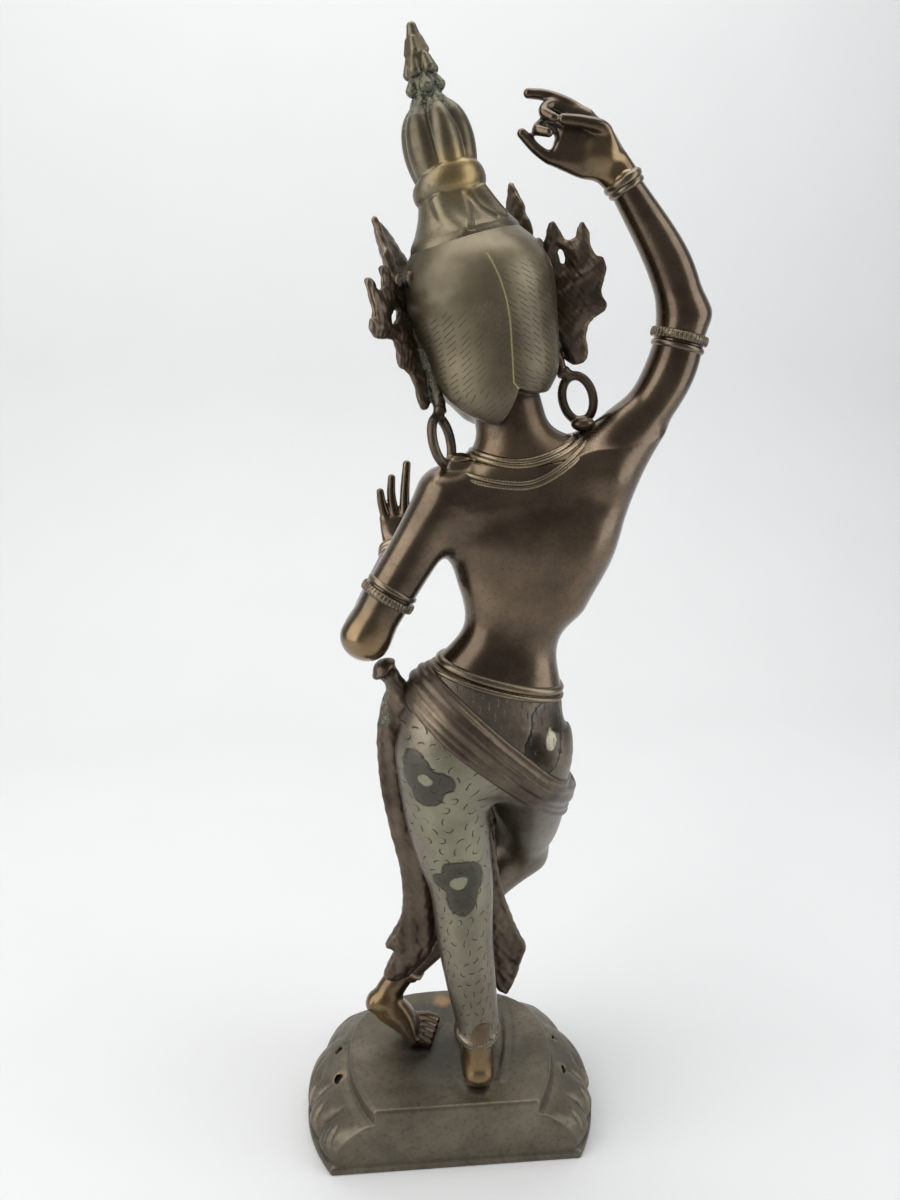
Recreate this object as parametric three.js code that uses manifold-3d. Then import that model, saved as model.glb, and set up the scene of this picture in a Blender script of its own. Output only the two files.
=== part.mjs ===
// Dancer sculpture: a bronze figure cast in one piece, fixed on a hollow lotus base.
// Millimetres, +Z up. The figure faces -Y, and +X is the figure's left side.
// A station is [x, y, z, half width, half depth]: one oval section of a limb.

import * as THREE from 'three';
import { mergeVertices } from 'three/addons/utils/BufferGeometryUtils.js';
import Module from 'manifold-3d';

const wasm = await Module();
wasm.setup();

// Driving dimensions of the base

const PLATE_TOP = 26;
const PLATE_HALF_WIDTH = 38;
const PLATE_FRONT = 34;
const WIDEST_Y = 4;
const BACK_Y = 35;
const BACK_NARROWING = 9.5;
const FULLNESS = 0.78;
const WALL = 3;
const RIM_SPREAD = 17;
const RIM_HEIGHT = 3;
const PETALS = 9;
const PETAL_BULGE = 3;
const BASE_COLUMNS = 36;
const CAVITY_COLUMNS = 18;

// Driving dimensions of the figure

const SOLE_GAP = 0.3;
const SOLE = PLATE_TOP + SOLE_GAP;
const HEAD_CENTRE = [-11.5, -3, 293];
const HEAD_LEAN = 14.5;
const HEAD_TURN = 15;
const WING_SWEEP = 40;
const FINGER = 1.85;

const LEFT_HIP = [3, 7, 151];
const LEFT_KNEE = [-3.5, 9, 101];
const LEFT_ANKLE = [-8.6, 18, 50];
const RIGHT_HIP = [-27, 5, 146];
const RIGHT_KNEE = [-30.5, -24, 95.5];
const RIGHT_ANKLE = [18.6, -6, 52];
const LEFT_SHOULDER = [1.5, 7, 240];
const LEFT_ELBOW = [28.6, 11, 195];
const LEFT_WRIST = [16.5, -30, 215];
const RIGHT_SHOULDER = [-48, 3.4, 251];
const RIGHT_ELBOW = [-77.2, 1, 297];
const RIGHT_WRIST = [-53.5, 0, 337.5];

// Solids

const vec = (p) => new THREE.Vector3(p[0], p[1], p[2]);
const mix = (a, b, t) => a.map((v, i) => v + (b[i] - v) * t);
const degrees = THREE.MathUtils.degToRad;

function solid(geometry) {
  const bare = geometry.clone();
  bare.deleteAttribute('normal');
  bare.deleteAttribute('uv');
  const merged = mergeVertices(bare, 1e-4);
  return new wasm.Manifold(new wasm.Mesh({
    numProp: 3,
    vertProperties: new Float32Array(merged.attributes.position.array),
    triVerts: new Uint32Array(merged.index.array),
  }));
}

function union(solids) {
  return solids.reduce((sum, item) => sum.add(item));
}

// A cast piece without the sealed voids that close between forms that bulge into each other.
function filled(shape) {
  return union(shape.decompose().filter((piece) => piece.volume() > 0));
}

function meshOf(name, shape, material) {
  const { vertProperties, triVerts } = shape.getMesh();
  const geometry = new THREE.BufferGeometry();
  geometry.setAttribute('position', new THREE.BufferAttribute(new Float32Array(vertProperties), 3));
  geometry.setIndex(new THREE.BufferAttribute(new Uint32Array(triVerts), 1));
  geometry.computeVertexNormals();
  const mesh = new THREE.Mesh(geometry, material);
  mesh.name = name;
  return mesh;
}

// A skin over equal rings of points, closed by fans at both ends or joined end to end.
function skin(rings, joined = false) {
  const sides = rings[0].length;
  const points = rings.flat();
  const faces = [];
  const spans = joined ? rings.length : rings.length - 1;
  for (let r = 0; r < spans; r++) {
    const low = r * sides;
    const high = ((r + 1) % rings.length) * sides;
    for (let s = 0; s < sides; s++) {
      const next = (s + 1) % sides;
      faces.push(low + s, low + next, high + next, low + s, high + next, high + s);
    }
  }
  if (!joined) {
    for (const [ring, first] of [[rings[0], 0], [rings.at(-1), (rings.length - 1) * sides]]) {
      const centre = new THREE.Vector3();
      ring.forEach((p) => centre.addScaledVector(p, 1 / sides));
      const middle = points.push(centre) - 1;
      for (let s = 0; s < sides; s++) {
        const next = (s + 1) % sides;
        if (first === 0) faces.push(middle, next, s);
        else faces.push(middle, first + s, first + next);
      }
    }
  }
  const geometry = new THREE.BufferGeometry().setFromPoints(points);
  geometry.setIndex(faces);
  const shape = solid(geometry);
  if (shape.volume() > 0) return shape;
  const turned = [];
  for (let f = 0; f < faces.length; f += 3) turned.push(faces[f], faces[f + 2], faces[f + 1]);
  geometry.setIndex(turned);
  return solid(geometry);
}

function ovalAt(centre, along, side, halfWidth, halfDepth, sides) {
  const across = side.clone().addScaledVector(along, -side.dot(along)).normalize();
  const deep = new THREE.Vector3().crossVectors(along, across);
  const ring = [];
  for (let s = 0; s < sides; s++) {
    const turn = (2 * Math.PI * s) / sides;
    ring.push(centre.clone()
      .addScaledVector(across, halfWidth * Math.cos(turn))
      .addScaledVector(deep, halfDepth * Math.sin(turn)));
  }
  return ring;
}

// A limb: oval sections along a smooth line through its stations, with domed ends.
function limb(stations, { sides = 12, rows = 10, side = [1, 0, 0], dome = 0.7, bend = [70] } = {}) {
  const path = new THREE.CatmullRomCurve3(stations.map(vec));
  const girth = new THREE.CatmullRomCurve3(stations.map((s) => new THREE.Vector3(s[3], s[4] ?? s[3], 0)));
  const across = vec(side);
  const rings = [];
  const section = (t, push, shrink) => {
    const size = girth.getPoint(t);
    const along = path.getTangent(t);
    const centre = path.getPoint(t).addScaledVector(along, push * Math.min(size.x, size.y));
    rings.push(ovalAt(centre, along, across, size.x * shrink, size.y * shrink, sides));
  };
  for (const b of bend) section(0, -dome * Math.sin(degrees(b)), Math.cos(degrees(b)));
  for (let r = 0; r <= rows; r++) section(r / rows, 0, 1);
  for (const b of bend.toReversed()) section(1, dome * Math.sin(degrees(b)), Math.cos(degrees(b)));
  return skin(rings);
}

// A stack of level ovals, one at each station.
function stack(stations, sides) {
  const up = new THREE.Vector3(0, 0, 1);
  const across = new THREE.Vector3(1, 0, 0);
  return skin(stations.map((s) => ovalAt(vec(s), up, across, s[3], s[4] ?? s[3], sides)));
}

// A ridge: a raised band along a closed line, tall along its axis and thick outwards.
function ridge(points, axis, tall, thick, steps, sides = 4) {
  const path = new THREE.CatmullRomCurve3(points, true);
  const rings = [];
  for (let r = 0; r < steps; r++) {
    rings.push(ovalAt(path.getPoint(r / steps), path.getTangent(r / steps), axis, tall, thick, sides));
  }
  return skin(rings, true);
}

// A ridge around an oval section whose axis runs along a given direction.
function girdle([x, y, z, halfWidth, halfDepth], along, tall, thick, steps, side = [1, 0, 0]) {
  const axis = vec(along).normalize();
  const line = ovalAt(new THREE.Vector3(x, y, z), axis, vec(side), halfWidth, halfDepth, 12);
  return ridge(line, axis, tall, thick, steps);
}

function ball([x, y, z], rx, ry, rz, across = 8, down = 5) {
  const geometry = new THREE.SphereGeometry(1, across, down);
  geometry.rotateX(Math.PI / 2);
  geometry.scale(rx, ry, rz);
  geometry.translate(x, y, z);
  return solid(geometry);
}

// A flat form: an outline in the x-z plane, thick along y.
function plate(outline, y, thickness, hole) {
  const points = outline.map(([x, z]) => new THREE.Vector2(x, z));
  if (THREE.ShapeUtils.isClockWise(points)) points.reverse();
  const shape = new THREE.Shape(points);
  if (hole) shape.holes.push(new THREE.Path(hole.map(([x, z]) => new THREE.Vector2(x, z))));
  const geometry = new THREE.ExtrudeGeometry(shape, { depth: thickness, bevelEnabled: false, steps: 1 });
  geometry.rotateX(Math.PI / 2);
  geometry.translate(0, y + thickness / 2, 0);
  return solid(geometry);
}

function placed(shape, matrix) {
  return shape.transform(matrix.elements);
}

// Trunk

const TRUNK = [
  [-8, 7, 148, 25, 17],
  [-11.5, 7, 157, 30.2, 18.6],
  [-13.2, 6, 167, 28.4, 17],
  [-17, 5, 178.5, 22.6, 13.6],
  [-20.8, 4.5, 193, 16.5, 11.5],
  [-24, 4, 209, 22, 13],
  [-25.6, 3.5, 225, 28.4, 15],
  [-24.8, 4, 240, 26, 14],
  [-22.5, 4.5, 251, 18, 11.5],
  [-20.6, 3.5, 260, 12.4, 11],
  [-18.6, 1.5, 270, 11, 10.6],
  [-16.2, -0.5, 280, 11, 11],
];

function trunk() {
  const buttock = ball([-27, 11, 150], 14, 12.5, 13);
  const breasts = [ball([-12, -9, 228], 9.5, 9, 9), ball([-37, -9, 231], 9.5, 9, 9)];
  const shoulders = limb([
    [0.5, 6, 241, 8.5, 8],
    [-24, 5, 248, 10, 10.5],
    [-49, 4, 250, 10, 9],
  ], { side: [0, 0, 1], rows: 3, sides: 8 });
  const flank = limb([
    [-62, 3, 262, 7, 6],
    [-53, 3.5, 243, 8.4, 8],
    [-43, 4, 222, 9.4, 9],
  ], { rows: 3, sides: 6 });
  return union([limb(TRUNK, { sides: 14, rows: 12 }), buttock, ...breasts, shoulders, flank]);
}

// Legs and feet

function standingLeg() {
  const [hx, hy, hz] = LEFT_HIP;
  const [kx, ky, kz] = LEFT_KNEE;
  const [ax, ay, az] = LEFT_ANKLE;
  return limb([
    [hx - 3, hy, hz + 12, 12, 14],
    [hx, hy + 1, hz, 15.4, 17.4],
    [1.8, 8, 134, 15.6, 16],
    [-0.6, 8.5, 116, 14, 14],
    [kx, ky, kz, 11.8, 12.5],
    [-4.8, 12.5, 80, 10.2, 11.5],
    [-6.6, 15.5, 65, 9.2, 9.8],
    [ax, ay, az, 7.6, 8],
    [-9, 19.5, 42, 7.2, 7.6],
    [-9, 20.5, 34, 6.2, 7],
  ], { rows: 11, sides: 10 });
}

function crossingLeg() {
  const [hx, hy, hz] = RIGHT_HIP;
  const [kx, ky, kz] = RIGHT_KNEE;
  const [ax, ay, az] = RIGHT_ANKLE;
  const thigh = limb([
    [hx, hy, hz, 15, 17],
    [-29.5, -5, 129, 14, 15.5],
    [-31.5, -16, 112, 12, 13.5],
    [kx, ky, kz, 10, 11],
  ], { rows: 5, sides: 10 });
  const shin = limb([
    [kx - 0.6, ky, kz - 0.4, 11.4, 11.4],
    [-19, -20.5, 86, 9.2, 9.6],
    [2, -13, 66, 6.8, 7.4],
    [ax, ay, az, 5.2, 5.6],
    [21, -4.6, 45, 5, 5.2],
  ], { side: [0, 1, 0], rows: 5, sides: 9, dome: 0.85 });
  return union([thigh, shin]);
}

// A row of five toes, from the big toe to the little one, between two ends of the ball.
function toes(big, little, reach) {
  const row = [];
  for (let i = 0; i < 5; i++) {
    const root = mix(big, little, i / 4);
    const radius = 2.3 - 0.22 * i;
    const length = 9 - 0.7 * i;
    const tip = [root[0] + reach[0] * length, root[1] + reach[1] * length, SOLE + radius * 0.9];
    row.push(limb([
      [...root, radius * 1.1, radius * 1.1],
      [...tip, radius, radius],
    ], { sides: 5, rows: 1, side: [0, 0, 1] }));
  }
  return row;
}

function standingFoot() {
  const [x] = LEFT_ANKLE;
  const sole = limb([
    [x, 27, SOLE + 4.8, 5.2, 4.8],
    [x, 19, SOLE + 7.2, 6.4, 7.2],
    [x + 0.2, 11, SOLE + 6, 5.8, 6],
    [x + 0.6, 3, SOLE + 4.4, 7.4, 4.4],
    [x + 1, -4, SOLE + 3, 8.6, 3],
  ], { rows: 5, dome: 0.6, sides: 8 });
  return union([sole, ...toes([x - 5.4, -5, SOLE + 2.6], [x + 8, -2, SOLE + 2], [0, -1])]);
}

function crossingFoot() {
  const body = limb([
    [28.4, -3.6, 42.4, 4.6, 4.8],
    [23.6, -3.6, 40.6, 5.2, 6.6],
    [17.8, -3, 35.6, 6.8, 5.6],
    [13.5, -2.4, SOLE + 3.4, 8.8, 3.2],
  ], { side: [0, 1, 0], rows: 4, sides: 8 });
  return union([body, ...toes([14, -9.2, SOLE + 3], [14.6, 3.6, SOLE + 2.8], [-1, 0])]);
}

// Arms

function leftArm() {
  const upper = limb([
    [...LEFT_SHOULDER, 10.4],
    [11, 8.6, 225, 8.8],
    [21.5, 10.4, 208, 8.2],
    [...LEFT_ELBOW, 7.4],
  ], { side: [0, 1, 0], rows: 5, sides: 9, dome: 0.9 });
  const fore = limb([
    [...LEFT_ELBOW, 7.4],
    [25, -3, 201, 7],
    [...LEFT_WRIST, 5, 4.4],
  ], { side: [1, 0, 0], rows: 4, sides: 9 });
  return union([upper, fore]);
}

function rightArm() {
  const upper = limb([
    [...RIGHT_SHOULDER, 10.4],
    [-57, 2.6, 260, 9.4],
    [-65.6, 2.2, 269, 8.2],
    [-72, 1.6, 281, 8.4],
    [...RIGHT_ELBOW, 7.9],
  ], { side: [0, 1, 0], rows: 6, sides: 9, dome: 0.9 });
  const fore = limb([
    [...RIGHT_ELBOW, 7.7],
    [-69.6, 0.6, 313, 7.3],
    [...RIGHT_WRIST, 5.8, 5],
  ], { side: [0, 1, 0], rows: 4, sides: 9 });
  return union([upper, fore]);
}

// A hand: a flat palm and fingers, each finger a line of places from its root to its tip.
function hand(palm, fingers, side) {
  const parts = [limb(palm, { side, sides: 7, rows: 4 })];
  for (const line of fingers) {
    const last = line.length - 1;
    const stations = line.map((p, i) => [...p, FINGER * (1.15 - (0.3 * i) / last)]);
    parts.push(limb(stations, { side: [0.2, 1, 0.3], sides: 4, rows: last, dome: 0.9 }));
  }
  return union(parts);
}

function raisedHand() {
  const palm = [
    [...RIGHT_WRIST, 5.6, 4.6],
    [-49.5, 0, 341.6, 6.4, 4.2],
    [-44, 0.5, 345.4, 9, 4],
    [-38, 0.5, 348.6, 9, 3.4],
    [-34, 0.5, 350, 7.6, 2.8],
  ];
  const index = [[-41, -0.5, 356], [-35, -1, 359.4], [-29, -1, 361.2], [-23.6, 0, 361.3]];
  const middle = [[-38, 0, 354], [-30.5, 0.5, 357.4], [-28.4, 3, 355.4], [-31, 5.5, 353.4]];
  const ring = [[-36, 0, 349.5], [-28, 0.5, 352.6], [-26.8, 3, 350.8], [-30, 5.5, 350]];
  const little = [[-37, 0, 342.6], [-31, 0.3, 343.6], [-26, 0.6, 346.4], [-21.6, 1.4, 350.2]];
  const thumb = [[-48, 2, 346.4], [-46, 4, 351], [-40, 5.6, 352.4], [-33, 6, 352.8]];
  return hand(palm, [index, middle, ring, little, thumb], [0.45, 0, -0.9]);
}

function chestHand() {
  const palm = [
    [...LEFT_WRIST, 5, 4.4],
    [15.6, -32, 220, 6.4, 3.4],
    [15.4, -32.5, 226, 7, 2.8],
  ];
  const little = [[20, -32.5, 226], [21.4, -32.5, 232], [21.8, -32, 236.4]];
  const ring = [[17, -32.8, 227], [18.2, -33, 235], [17.9, -32.4, 241.4]];
  const middle = [[13.6, -32.8, 227], [13.2, -33, 237], [12.4, -32.4, 246.2]];
  const index = [[10.6, -33, 226], [8.6, -35.4, 232], [7.4, -38.6, 229.4]];
  const thumb = [[10, -34, 218], [5.8, -37, 222], [6.6, -39.4, 227.6]];
  return hand(palm, [little, ring, middle, index, thumb], [1, 0, 0]);
}

// Head, in a frame of its own: the face looks along -Y before the frame is leaned and turned

const HEAD = new THREE.Matrix4().makeTranslation(...HEAD_CENTRE)
  .multiply(new THREE.Matrix4().makeRotationY(degrees(HEAD_LEAN)))
  .multiply(new THREE.Matrix4().makeRotationZ(degrees(HEAD_TURN)));

function face() {
  const skull = stack([
    [0, -13.5, -31.5, 5, 5],
    [0, -10.5, -27, 10.5, 10.5],
    [0, -7, -19, 15.4, 15.6],
    [0, -4.5, -8, 18.6, 18.4],
    [0, -3.5, 4, 19.6, 20],
    [0, -2, 15, 19, 20],
    [0, 0, 24, 14, 16],
  ], 12);
  const nose = limb([[0, -21.4, 2, 1.6, 2], [0, -24, -9, 3, 2.8]], { sides: 5, rows: 1, dome: 0.5 });
  const features = [nose];
  for (const s of [-1, 1]) features.push(ball([s * 7.6, -19.8, -1.5], 4.8, 3.2, 2.4, 6, 4));
  for (const [z, y] of [[-14.2, -20], [-17, -18.6]]) {
    features.push(limb([[-4.8, y + 1.4, z, 1.1], [0, y, z - 0.4, 1.6], [4.8, y + 1.4, z, 1.1]], {
      sides: 4, rows: 2, side: [0, 0, 1],
    }));
  }
  return union([skull, ...features]);
}

// The hair: a smooth cap that leaves the face free.
function hair() {
  const cap = stack([
    [4, 14, -28.5, 4, 4.6],
    [3, 12, -25.5, 10.4, 8],
    [1.6, 9, -20, 17, 13.5],
    [0.6, 6, -12.5, 20.4, 18],
    [0, 3.5, -4, 21.6, 21.6],
    [0, 2, 5, 24, 24.4],
    [0, 2, 14, 24.6, 24.8],
    [0, 2, 22, 21.8, 22],
    [0, 2, 28.5, 16.8, 16.6],
  ], 15);
  const faceOpening = limb([
    [0, -27, -34, 19, 22],
    [0, -27, 0, 17.6, 16],
    [0, -27, 9, 13, 14],
  ], { sides: 10, rows: 2, dome: 0.4 });
  return cap.subtract(faceOpening);
}

// The topknot: a cone of hair, a tied ring of upright locks, and a bud that closes to a point.
function topknot() {
  const cone = stack([
    [0, 2, 27, 17.6, 17],
    [0, 2, 31, 15, 14.4],
    [0.4, 2, 36.5, 12.4, 12],
    [0.8, 2, 44, 9.8, 9.4],
  ], 12);
  const bud = stack([
    [0.8, 2, 64, 5.6],
    [1, 2, 69.5, 5.2],
    [1.1, 2, 72, 6.8],
    [1.2, 2, 76.5, 5.6],
    [1.2, 2, 78.5, 6.1],
    [1, 2, 83, 3.8],
    [1, 2, 84.6, 4],
    [0.7, 2, 90, 1],
  ], 8);
  const tie = [...Array(8).keys()].map((i) => {
    const turn = (i / 8) * 2 * Math.PI;
    return new THREE.Vector3(8.8 * Math.cos(turn), 2 + 8.6 * Math.sin(turn), 45 + 3.6 * Math.sin(turn));
  });
  return union([cone, locks(), bud, ridge(tie, vec([0, 0, 1]), 3, 2.4, 9)]);
}

// Six upright locks, drawn as one form with a furrow between each lock and the next.
function locks() {
  const rows = [[42, 9.2], [49, 11], [56, 11.4], [61, 9.8], [66.5, 5.8]];
  return skin(rows.map(([z, radius]) => [...Array(12).keys()].map((i) => {
    const turn = (2 * Math.PI * (i + 1)) / 12;
    const r = radius * (i % 2 ? 0.84 : 1.04);
    return new THREE.Vector3(1.2 + r * Math.cos(turn), 2 + 0.95 * r * Math.sin(turn), z);
  })));
}

const LEAF = [
  [-6.4, 0], [-6.4, 8], [-4.4, 14], [-1.4, 20.4], [0.4, 20.8],
  [2.6, 15], [5.6, 10], [6.4, 5], [6.2, 0], [0, -3],
];

// Where each leaf stands round the band, how tall it is and how far it leans out
const LEAVES = [[-90, 1.25, 12], [-132, 1, 14], [-48, 1, 14], [-160, 1.02, 4], [-20, 1.02, 4]];

// A side wing of the crown, out from its root and up, with its lower part narrowed.
function wingOutline(lower) {
  return [
    [-2, 20], [3, 22], [6.6, 26.4], [8.8, 25.8], [10.6, 20.6], [13.6, 20.4], [16.4, 23.8],
    [18, 21], [18.4, 14],
    [21.3, 11.6], [19.6, 5], [17.8, -0.4], [19.2, -2.6], [15, -5.4], [11, -8.4], [10.6, -14.6], [8, -18.2],
    [4.6, -18.6], [0, -14], [-2.4, 0],
  ].map(([out, up]) => [up < 5 ? out * lower : out, up]);
}

const WING_HOLE = [[7.2, 17.6], [8.6, 17.4], [9, 13.4], [7.4, 13]];

function crown() {
  const around = (turn, out, up) => [out * Math.cos(degrees(turn)), 1 + out * Math.sin(degrees(turn)), up];
  const band = [-195, -160, -125, -90, -55, -20, 15].map((turn) => [...around(turn, 22.6, 20), 2.8, 2]);
  const parts = [limb(band, { side: [0, 0, 1], sides: 4, rows: 9 })];
  const leaf = plate(LEAF, 0, 3);
  for (const [turn, height, lean] of LEAVES) {
    const stance = new THREE.Matrix4().makeRotationZ(degrees(turn + 90))
      .multiply(new THREE.Matrix4().makeTranslation(0, -23.4, 20))
      .multiply(new THREE.Matrix4().makeRotationX(degrees(lean)))
      .multiply(new THREE.Matrix4().makeScale(1, 1, height));
    parts.push(placed(leaf, stance));
  }
  for (const [s, lower] of [[-1, 1], [1, 0.6]]) {
    const stance = new THREE.Matrix4().makeTranslation(s * 23.2, 0, 0)
      .multiply(new THREE.Matrix4().makeRotationZ(degrees(s * WING_SWEEP)))
      .multiply(new THREE.Matrix4().makeScale(s, 1, 1));
    parts.push(placed(plate(wingOutline(lower), 0, 2.8, WING_HOLE), stance));
    parts.push(limb([
      [s * 20, -1, 18, 2.6, 4],
      [s * 22.4, 0, 4, 2.6, 4],
      [s * 21.4, 1, -10, 2.4, 3.4],
      [s * 22, 3.6, -20.5, 2, 2.4],
    ], { side: [s, 0, 0], sides: 5, rows: 2 }));
    parts.push(earHoop(s));
  }
  return union(parts);
}

function earHoop(s) {
  const line = [...Array(8).keys()].map((i) => {
    const turn = (i / 8) * 2 * Math.PI;
    const out = 5.1 * Math.cos(turn);
    return new THREE.Vector3(s * (24.6 + out * 0.77), 5 + out * 0.64, -29.2 + 7.6 * Math.sin(turn));
  });
  return ridge(line, vec([-0.64 * s, 0.77, 0]), 1.6, 1.6, 10, 5);
}

function head() {
  return placed(union([face(), hair(), topknot(), crown()]), HEAD);
}

// Jewellery and cloth

function jewellery() {
  const waist = [-0.27, 0.06, 1];
  const round = (a, b, t, r, tall, thick) => {
    const along = vec(b).sub(vec(a));
    return girdle([...mix(a, b, t), r, r], along.toArray(), tall, thick, 8, [along.z, 0, -along.x]);
  };
  return union([
    girdle([-20.8, 2.2, 257, 15.2, 13.4], [0.14, -0.32, 1], 2.8, 2.6, 11),
    girdle([-16.8, 5, 178.6, 22.4, 13.6], waist, 2.4, 2.2, 14),
    round(LEFT_SHOULDER, LEFT_ELBOW, 0.7, 7.6, 1.6, 2),
    round(RIGHT_SHOULDER, RIGHT_ELBOW, 0.86, 8, 1.7, 2),
    round(LEFT_ELBOW, LEFT_WRIST, 0.96, 4.4, 1.5, 2),
    round(RIGHT_ELBOW, RIGHT_WRIST, 0.97, 5.4, 1.8, 2),
  ]);
}

// The sash, from the left hip across the seat to the right thigh.
function sash() {
  return girdle([-15, 5.4, 153.6, 31.6, 19.8], [-0.66, 0, 0.75], 5, 2.6, 16);
}

function scarves() {
  const fall = plate([
    [19, 177], [23.2, 168], [25.6, 155], [24.9, 136], [21.2, 116], [18.2, 106], [17.4, 94], [18.8, 82],
    [24, 72], [20.6, 70], [22.6, 66], [25, 58.8], [20.6, 57.6], [15, 60],
    [7, 68], [2, 80], [6, 120], [14, 168],
  ], 3.5, 6);
  const knot = limb([
    [15.5, 5, 170, 5],
    [18.8, 5, 176.4, 3.8],
    [21, 5, 180, 3.6],
    [22.8, 5, 182, 4.6],
  ], { sides: 6, rows: 3, dome: 0.6 });
  const tail = plate([
    [-13, 128], [-17.4, 110], [-20.6, 90], [-30.2, 64.5], [-26.6, 52],
    [-22.8, 43.6], [-19, 46], [-14, 60], [-11, 90], [-8, 128],
  ], -3, 4.4);
  const front = limb([
    [-14, -12, 150, 6, 4],
    [-16, -16, 130, 5, 3],
    [-15, -19, 108, 6, 2.6],
  ], { rows: 2, sides: 6 });
  return union([fall, knot, tail, front]);
}

function figure() {
  return filled(union([
    trunk(), standingLeg(), crossingLeg(), standingFoot(), crossingFoot(), leftArm(), rightArm(),
    raisedHand(), chestHand(), head(), jewellery(), sash(), scarves(),
  ]));
}

// Lotus base

// One point of the D-shaped outline: t runs round the front from one back corner to the other.
function outlinePoint(t, spread) {
  const half = PLATE_HALF_WIDTH + spread;
  const front = PLATE_FRONT + spread;
  const flank = 0.27;
  const toCorner = (s) => [half - BACK_NARROWING * s * s, WIDEST_Y + (BACK_Y - WIDEST_Y) * s];
  if (t < flank) {
    const [x, y] = toCorner(1 - t / flank);
    return [x, y];
  }
  if (t > 1 - flank) {
    const [x, y] = toCorner((t - 1 + flank) / flank);
    return [-x, y];
  }
  const turn = Math.PI * ((t - flank) / (1 - 2 * flank));
  const full = (value) => Math.sign(value) * Math.abs(value) ** FULLNESS;
  return [half * full(Math.cos(turn)), WIDEST_Y - front * full(Math.sin(turn))];
}

function baseRing(z, spread, bulge, back = BACK_Y, columns = BASE_COLUMNS) {
  const ring = [];
  for (let c = 0; c <= columns; c++) {
    const t = c / columns;
    const petal = Math.abs(Math.sin(Math.PI * PETALS * t)) ** 0.7;
    const [x, y] = outlinePoint(t, spread + bulge * petal);
    ring.push(new THREE.Vector3(x, Math.min(y, back), z));
  }
  return ring;
}

function lotusBase() {
  const outer = skin([
    baseRing(0, RIM_SPREAD, 0), baseRing(RIM_HEIGHT, RIM_SPREAD, 0),
    baseRing(RIM_HEIGHT + 0.6, RIM_SPREAD - 2.6, 1), baseRing(7, RIM_SPREAD - 2.6, PETAL_BULGE),
    baseRing(12, RIM_SPREAD - 6, PETAL_BULGE), baseRing(16, RIM_SPREAD - 10.4, PETAL_BULGE * 0.7),
    baseRing(18.8, 5, 0), baseRing(20.4, 1, 0), baseRing(25, 0.4, 0), baseRing(PLATE_TOP, -0.6, 0),
  ]);
  const inside = (z, spread) => baseRing(z, spread - WALL - 1, 0, BACK_Y - WALL - 1, CAVITY_COLUMNS);
  const cavity = skin([
    inside(-1, RIM_SPREAD), inside(6, RIM_SPREAD - 2), inside(13, RIM_SPREAD - 7),
    inside(18, 3), inside(PLATE_TOP - WALL - 0.6, 0),
  ]);
  const pierced = ball([39.8, 6.3, 14], 9, 2, 1.6, 6, 4);
  return outer.subtract(cavity).subtract(pierced);
}

// The finished group, standing with the middle of its underside at the origin

const bronze = new THREE.MeshStandardMaterial({ color: 0x6b5a45, roughness: 0.35, metalness: 0.9 });
const baseBronze = new THREE.MeshStandardMaterial({ color: 0x665c4b, roughness: 0.5, metalness: 0.85 });
bronze.name = 'bronze';
baseBronze.name = 'base_bronze';

const sculpture = new THREE.Group();
sculpture.add(meshOf('dancer', figure(), bronze));
sculpture.add(meshOf('lotus_base', lotusBase(), baseBronze));
const extent = new THREE.Box3().setFromObject(sculpture);
sculpture.position.set(-(extent.min.x + extent.max.x) / 2, -(extent.min.y + extent.max.y) / 2, 0);
sculpture.updateMatrixWorld(true);

export default sculpture;
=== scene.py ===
"""Dancer sculpture: the surface, finish and setting of a cast bronze figure on a lotus base.

Forms are drawn in millimetres, in the sculptor's frame: X to the figure's left, Y to its back,
Z up from the standing plane. SHIFT moves them into the row frame.
"""

import math
import time

import bmesh
import bpy
import numpy as np
from bpy.props import FloatProperty, FloatVectorProperty, IntProperty, PointerProperty
from mathutils import Matrix, Vector


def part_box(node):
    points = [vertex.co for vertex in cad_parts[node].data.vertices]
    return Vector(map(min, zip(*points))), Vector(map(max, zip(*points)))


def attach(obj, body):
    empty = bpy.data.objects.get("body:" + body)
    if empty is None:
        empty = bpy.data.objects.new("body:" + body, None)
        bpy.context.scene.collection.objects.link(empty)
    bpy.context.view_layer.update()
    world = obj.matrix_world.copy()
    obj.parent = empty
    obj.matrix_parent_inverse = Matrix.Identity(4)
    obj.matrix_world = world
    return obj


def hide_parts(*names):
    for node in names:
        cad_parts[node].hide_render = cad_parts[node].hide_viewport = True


bl_info = {
    "name": "Dancer sculpture",
    "version": (1, 0, 0),
    "blender": (4, 5, 0),
    "location": "3D View > Sidebar > Dancer",
    "description": "Builds a cast bronze dancer on a lotus base",
    "category": "Add Mesh",
}

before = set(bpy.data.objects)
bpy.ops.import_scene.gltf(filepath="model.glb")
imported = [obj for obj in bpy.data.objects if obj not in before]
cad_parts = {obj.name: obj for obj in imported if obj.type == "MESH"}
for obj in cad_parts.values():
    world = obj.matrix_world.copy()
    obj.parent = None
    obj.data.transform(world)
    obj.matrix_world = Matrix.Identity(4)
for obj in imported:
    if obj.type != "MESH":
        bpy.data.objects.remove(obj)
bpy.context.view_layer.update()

# Places of the figure in millimetres, as in the casting's own drawing

BASE_BACK = 35.0
BASE_LOW, BASE_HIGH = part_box("lotus_base")
SHIFT = np.array([
    500.0 * (BASE_LOW.x + BASE_HIGH.x),
    1000.0 * BASE_HIGH.y - BASE_BACK,
    0.0,
])
PLATE_TOP = 26.0
SOLE = PLATE_TOP + 0.3
COARSE = 1.0

HEAD_CENTRE = np.array([-11.5, -3.0, 293.0])
HEAD_LEAN = 14.5
HEAD_TURN = 15.0

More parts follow.
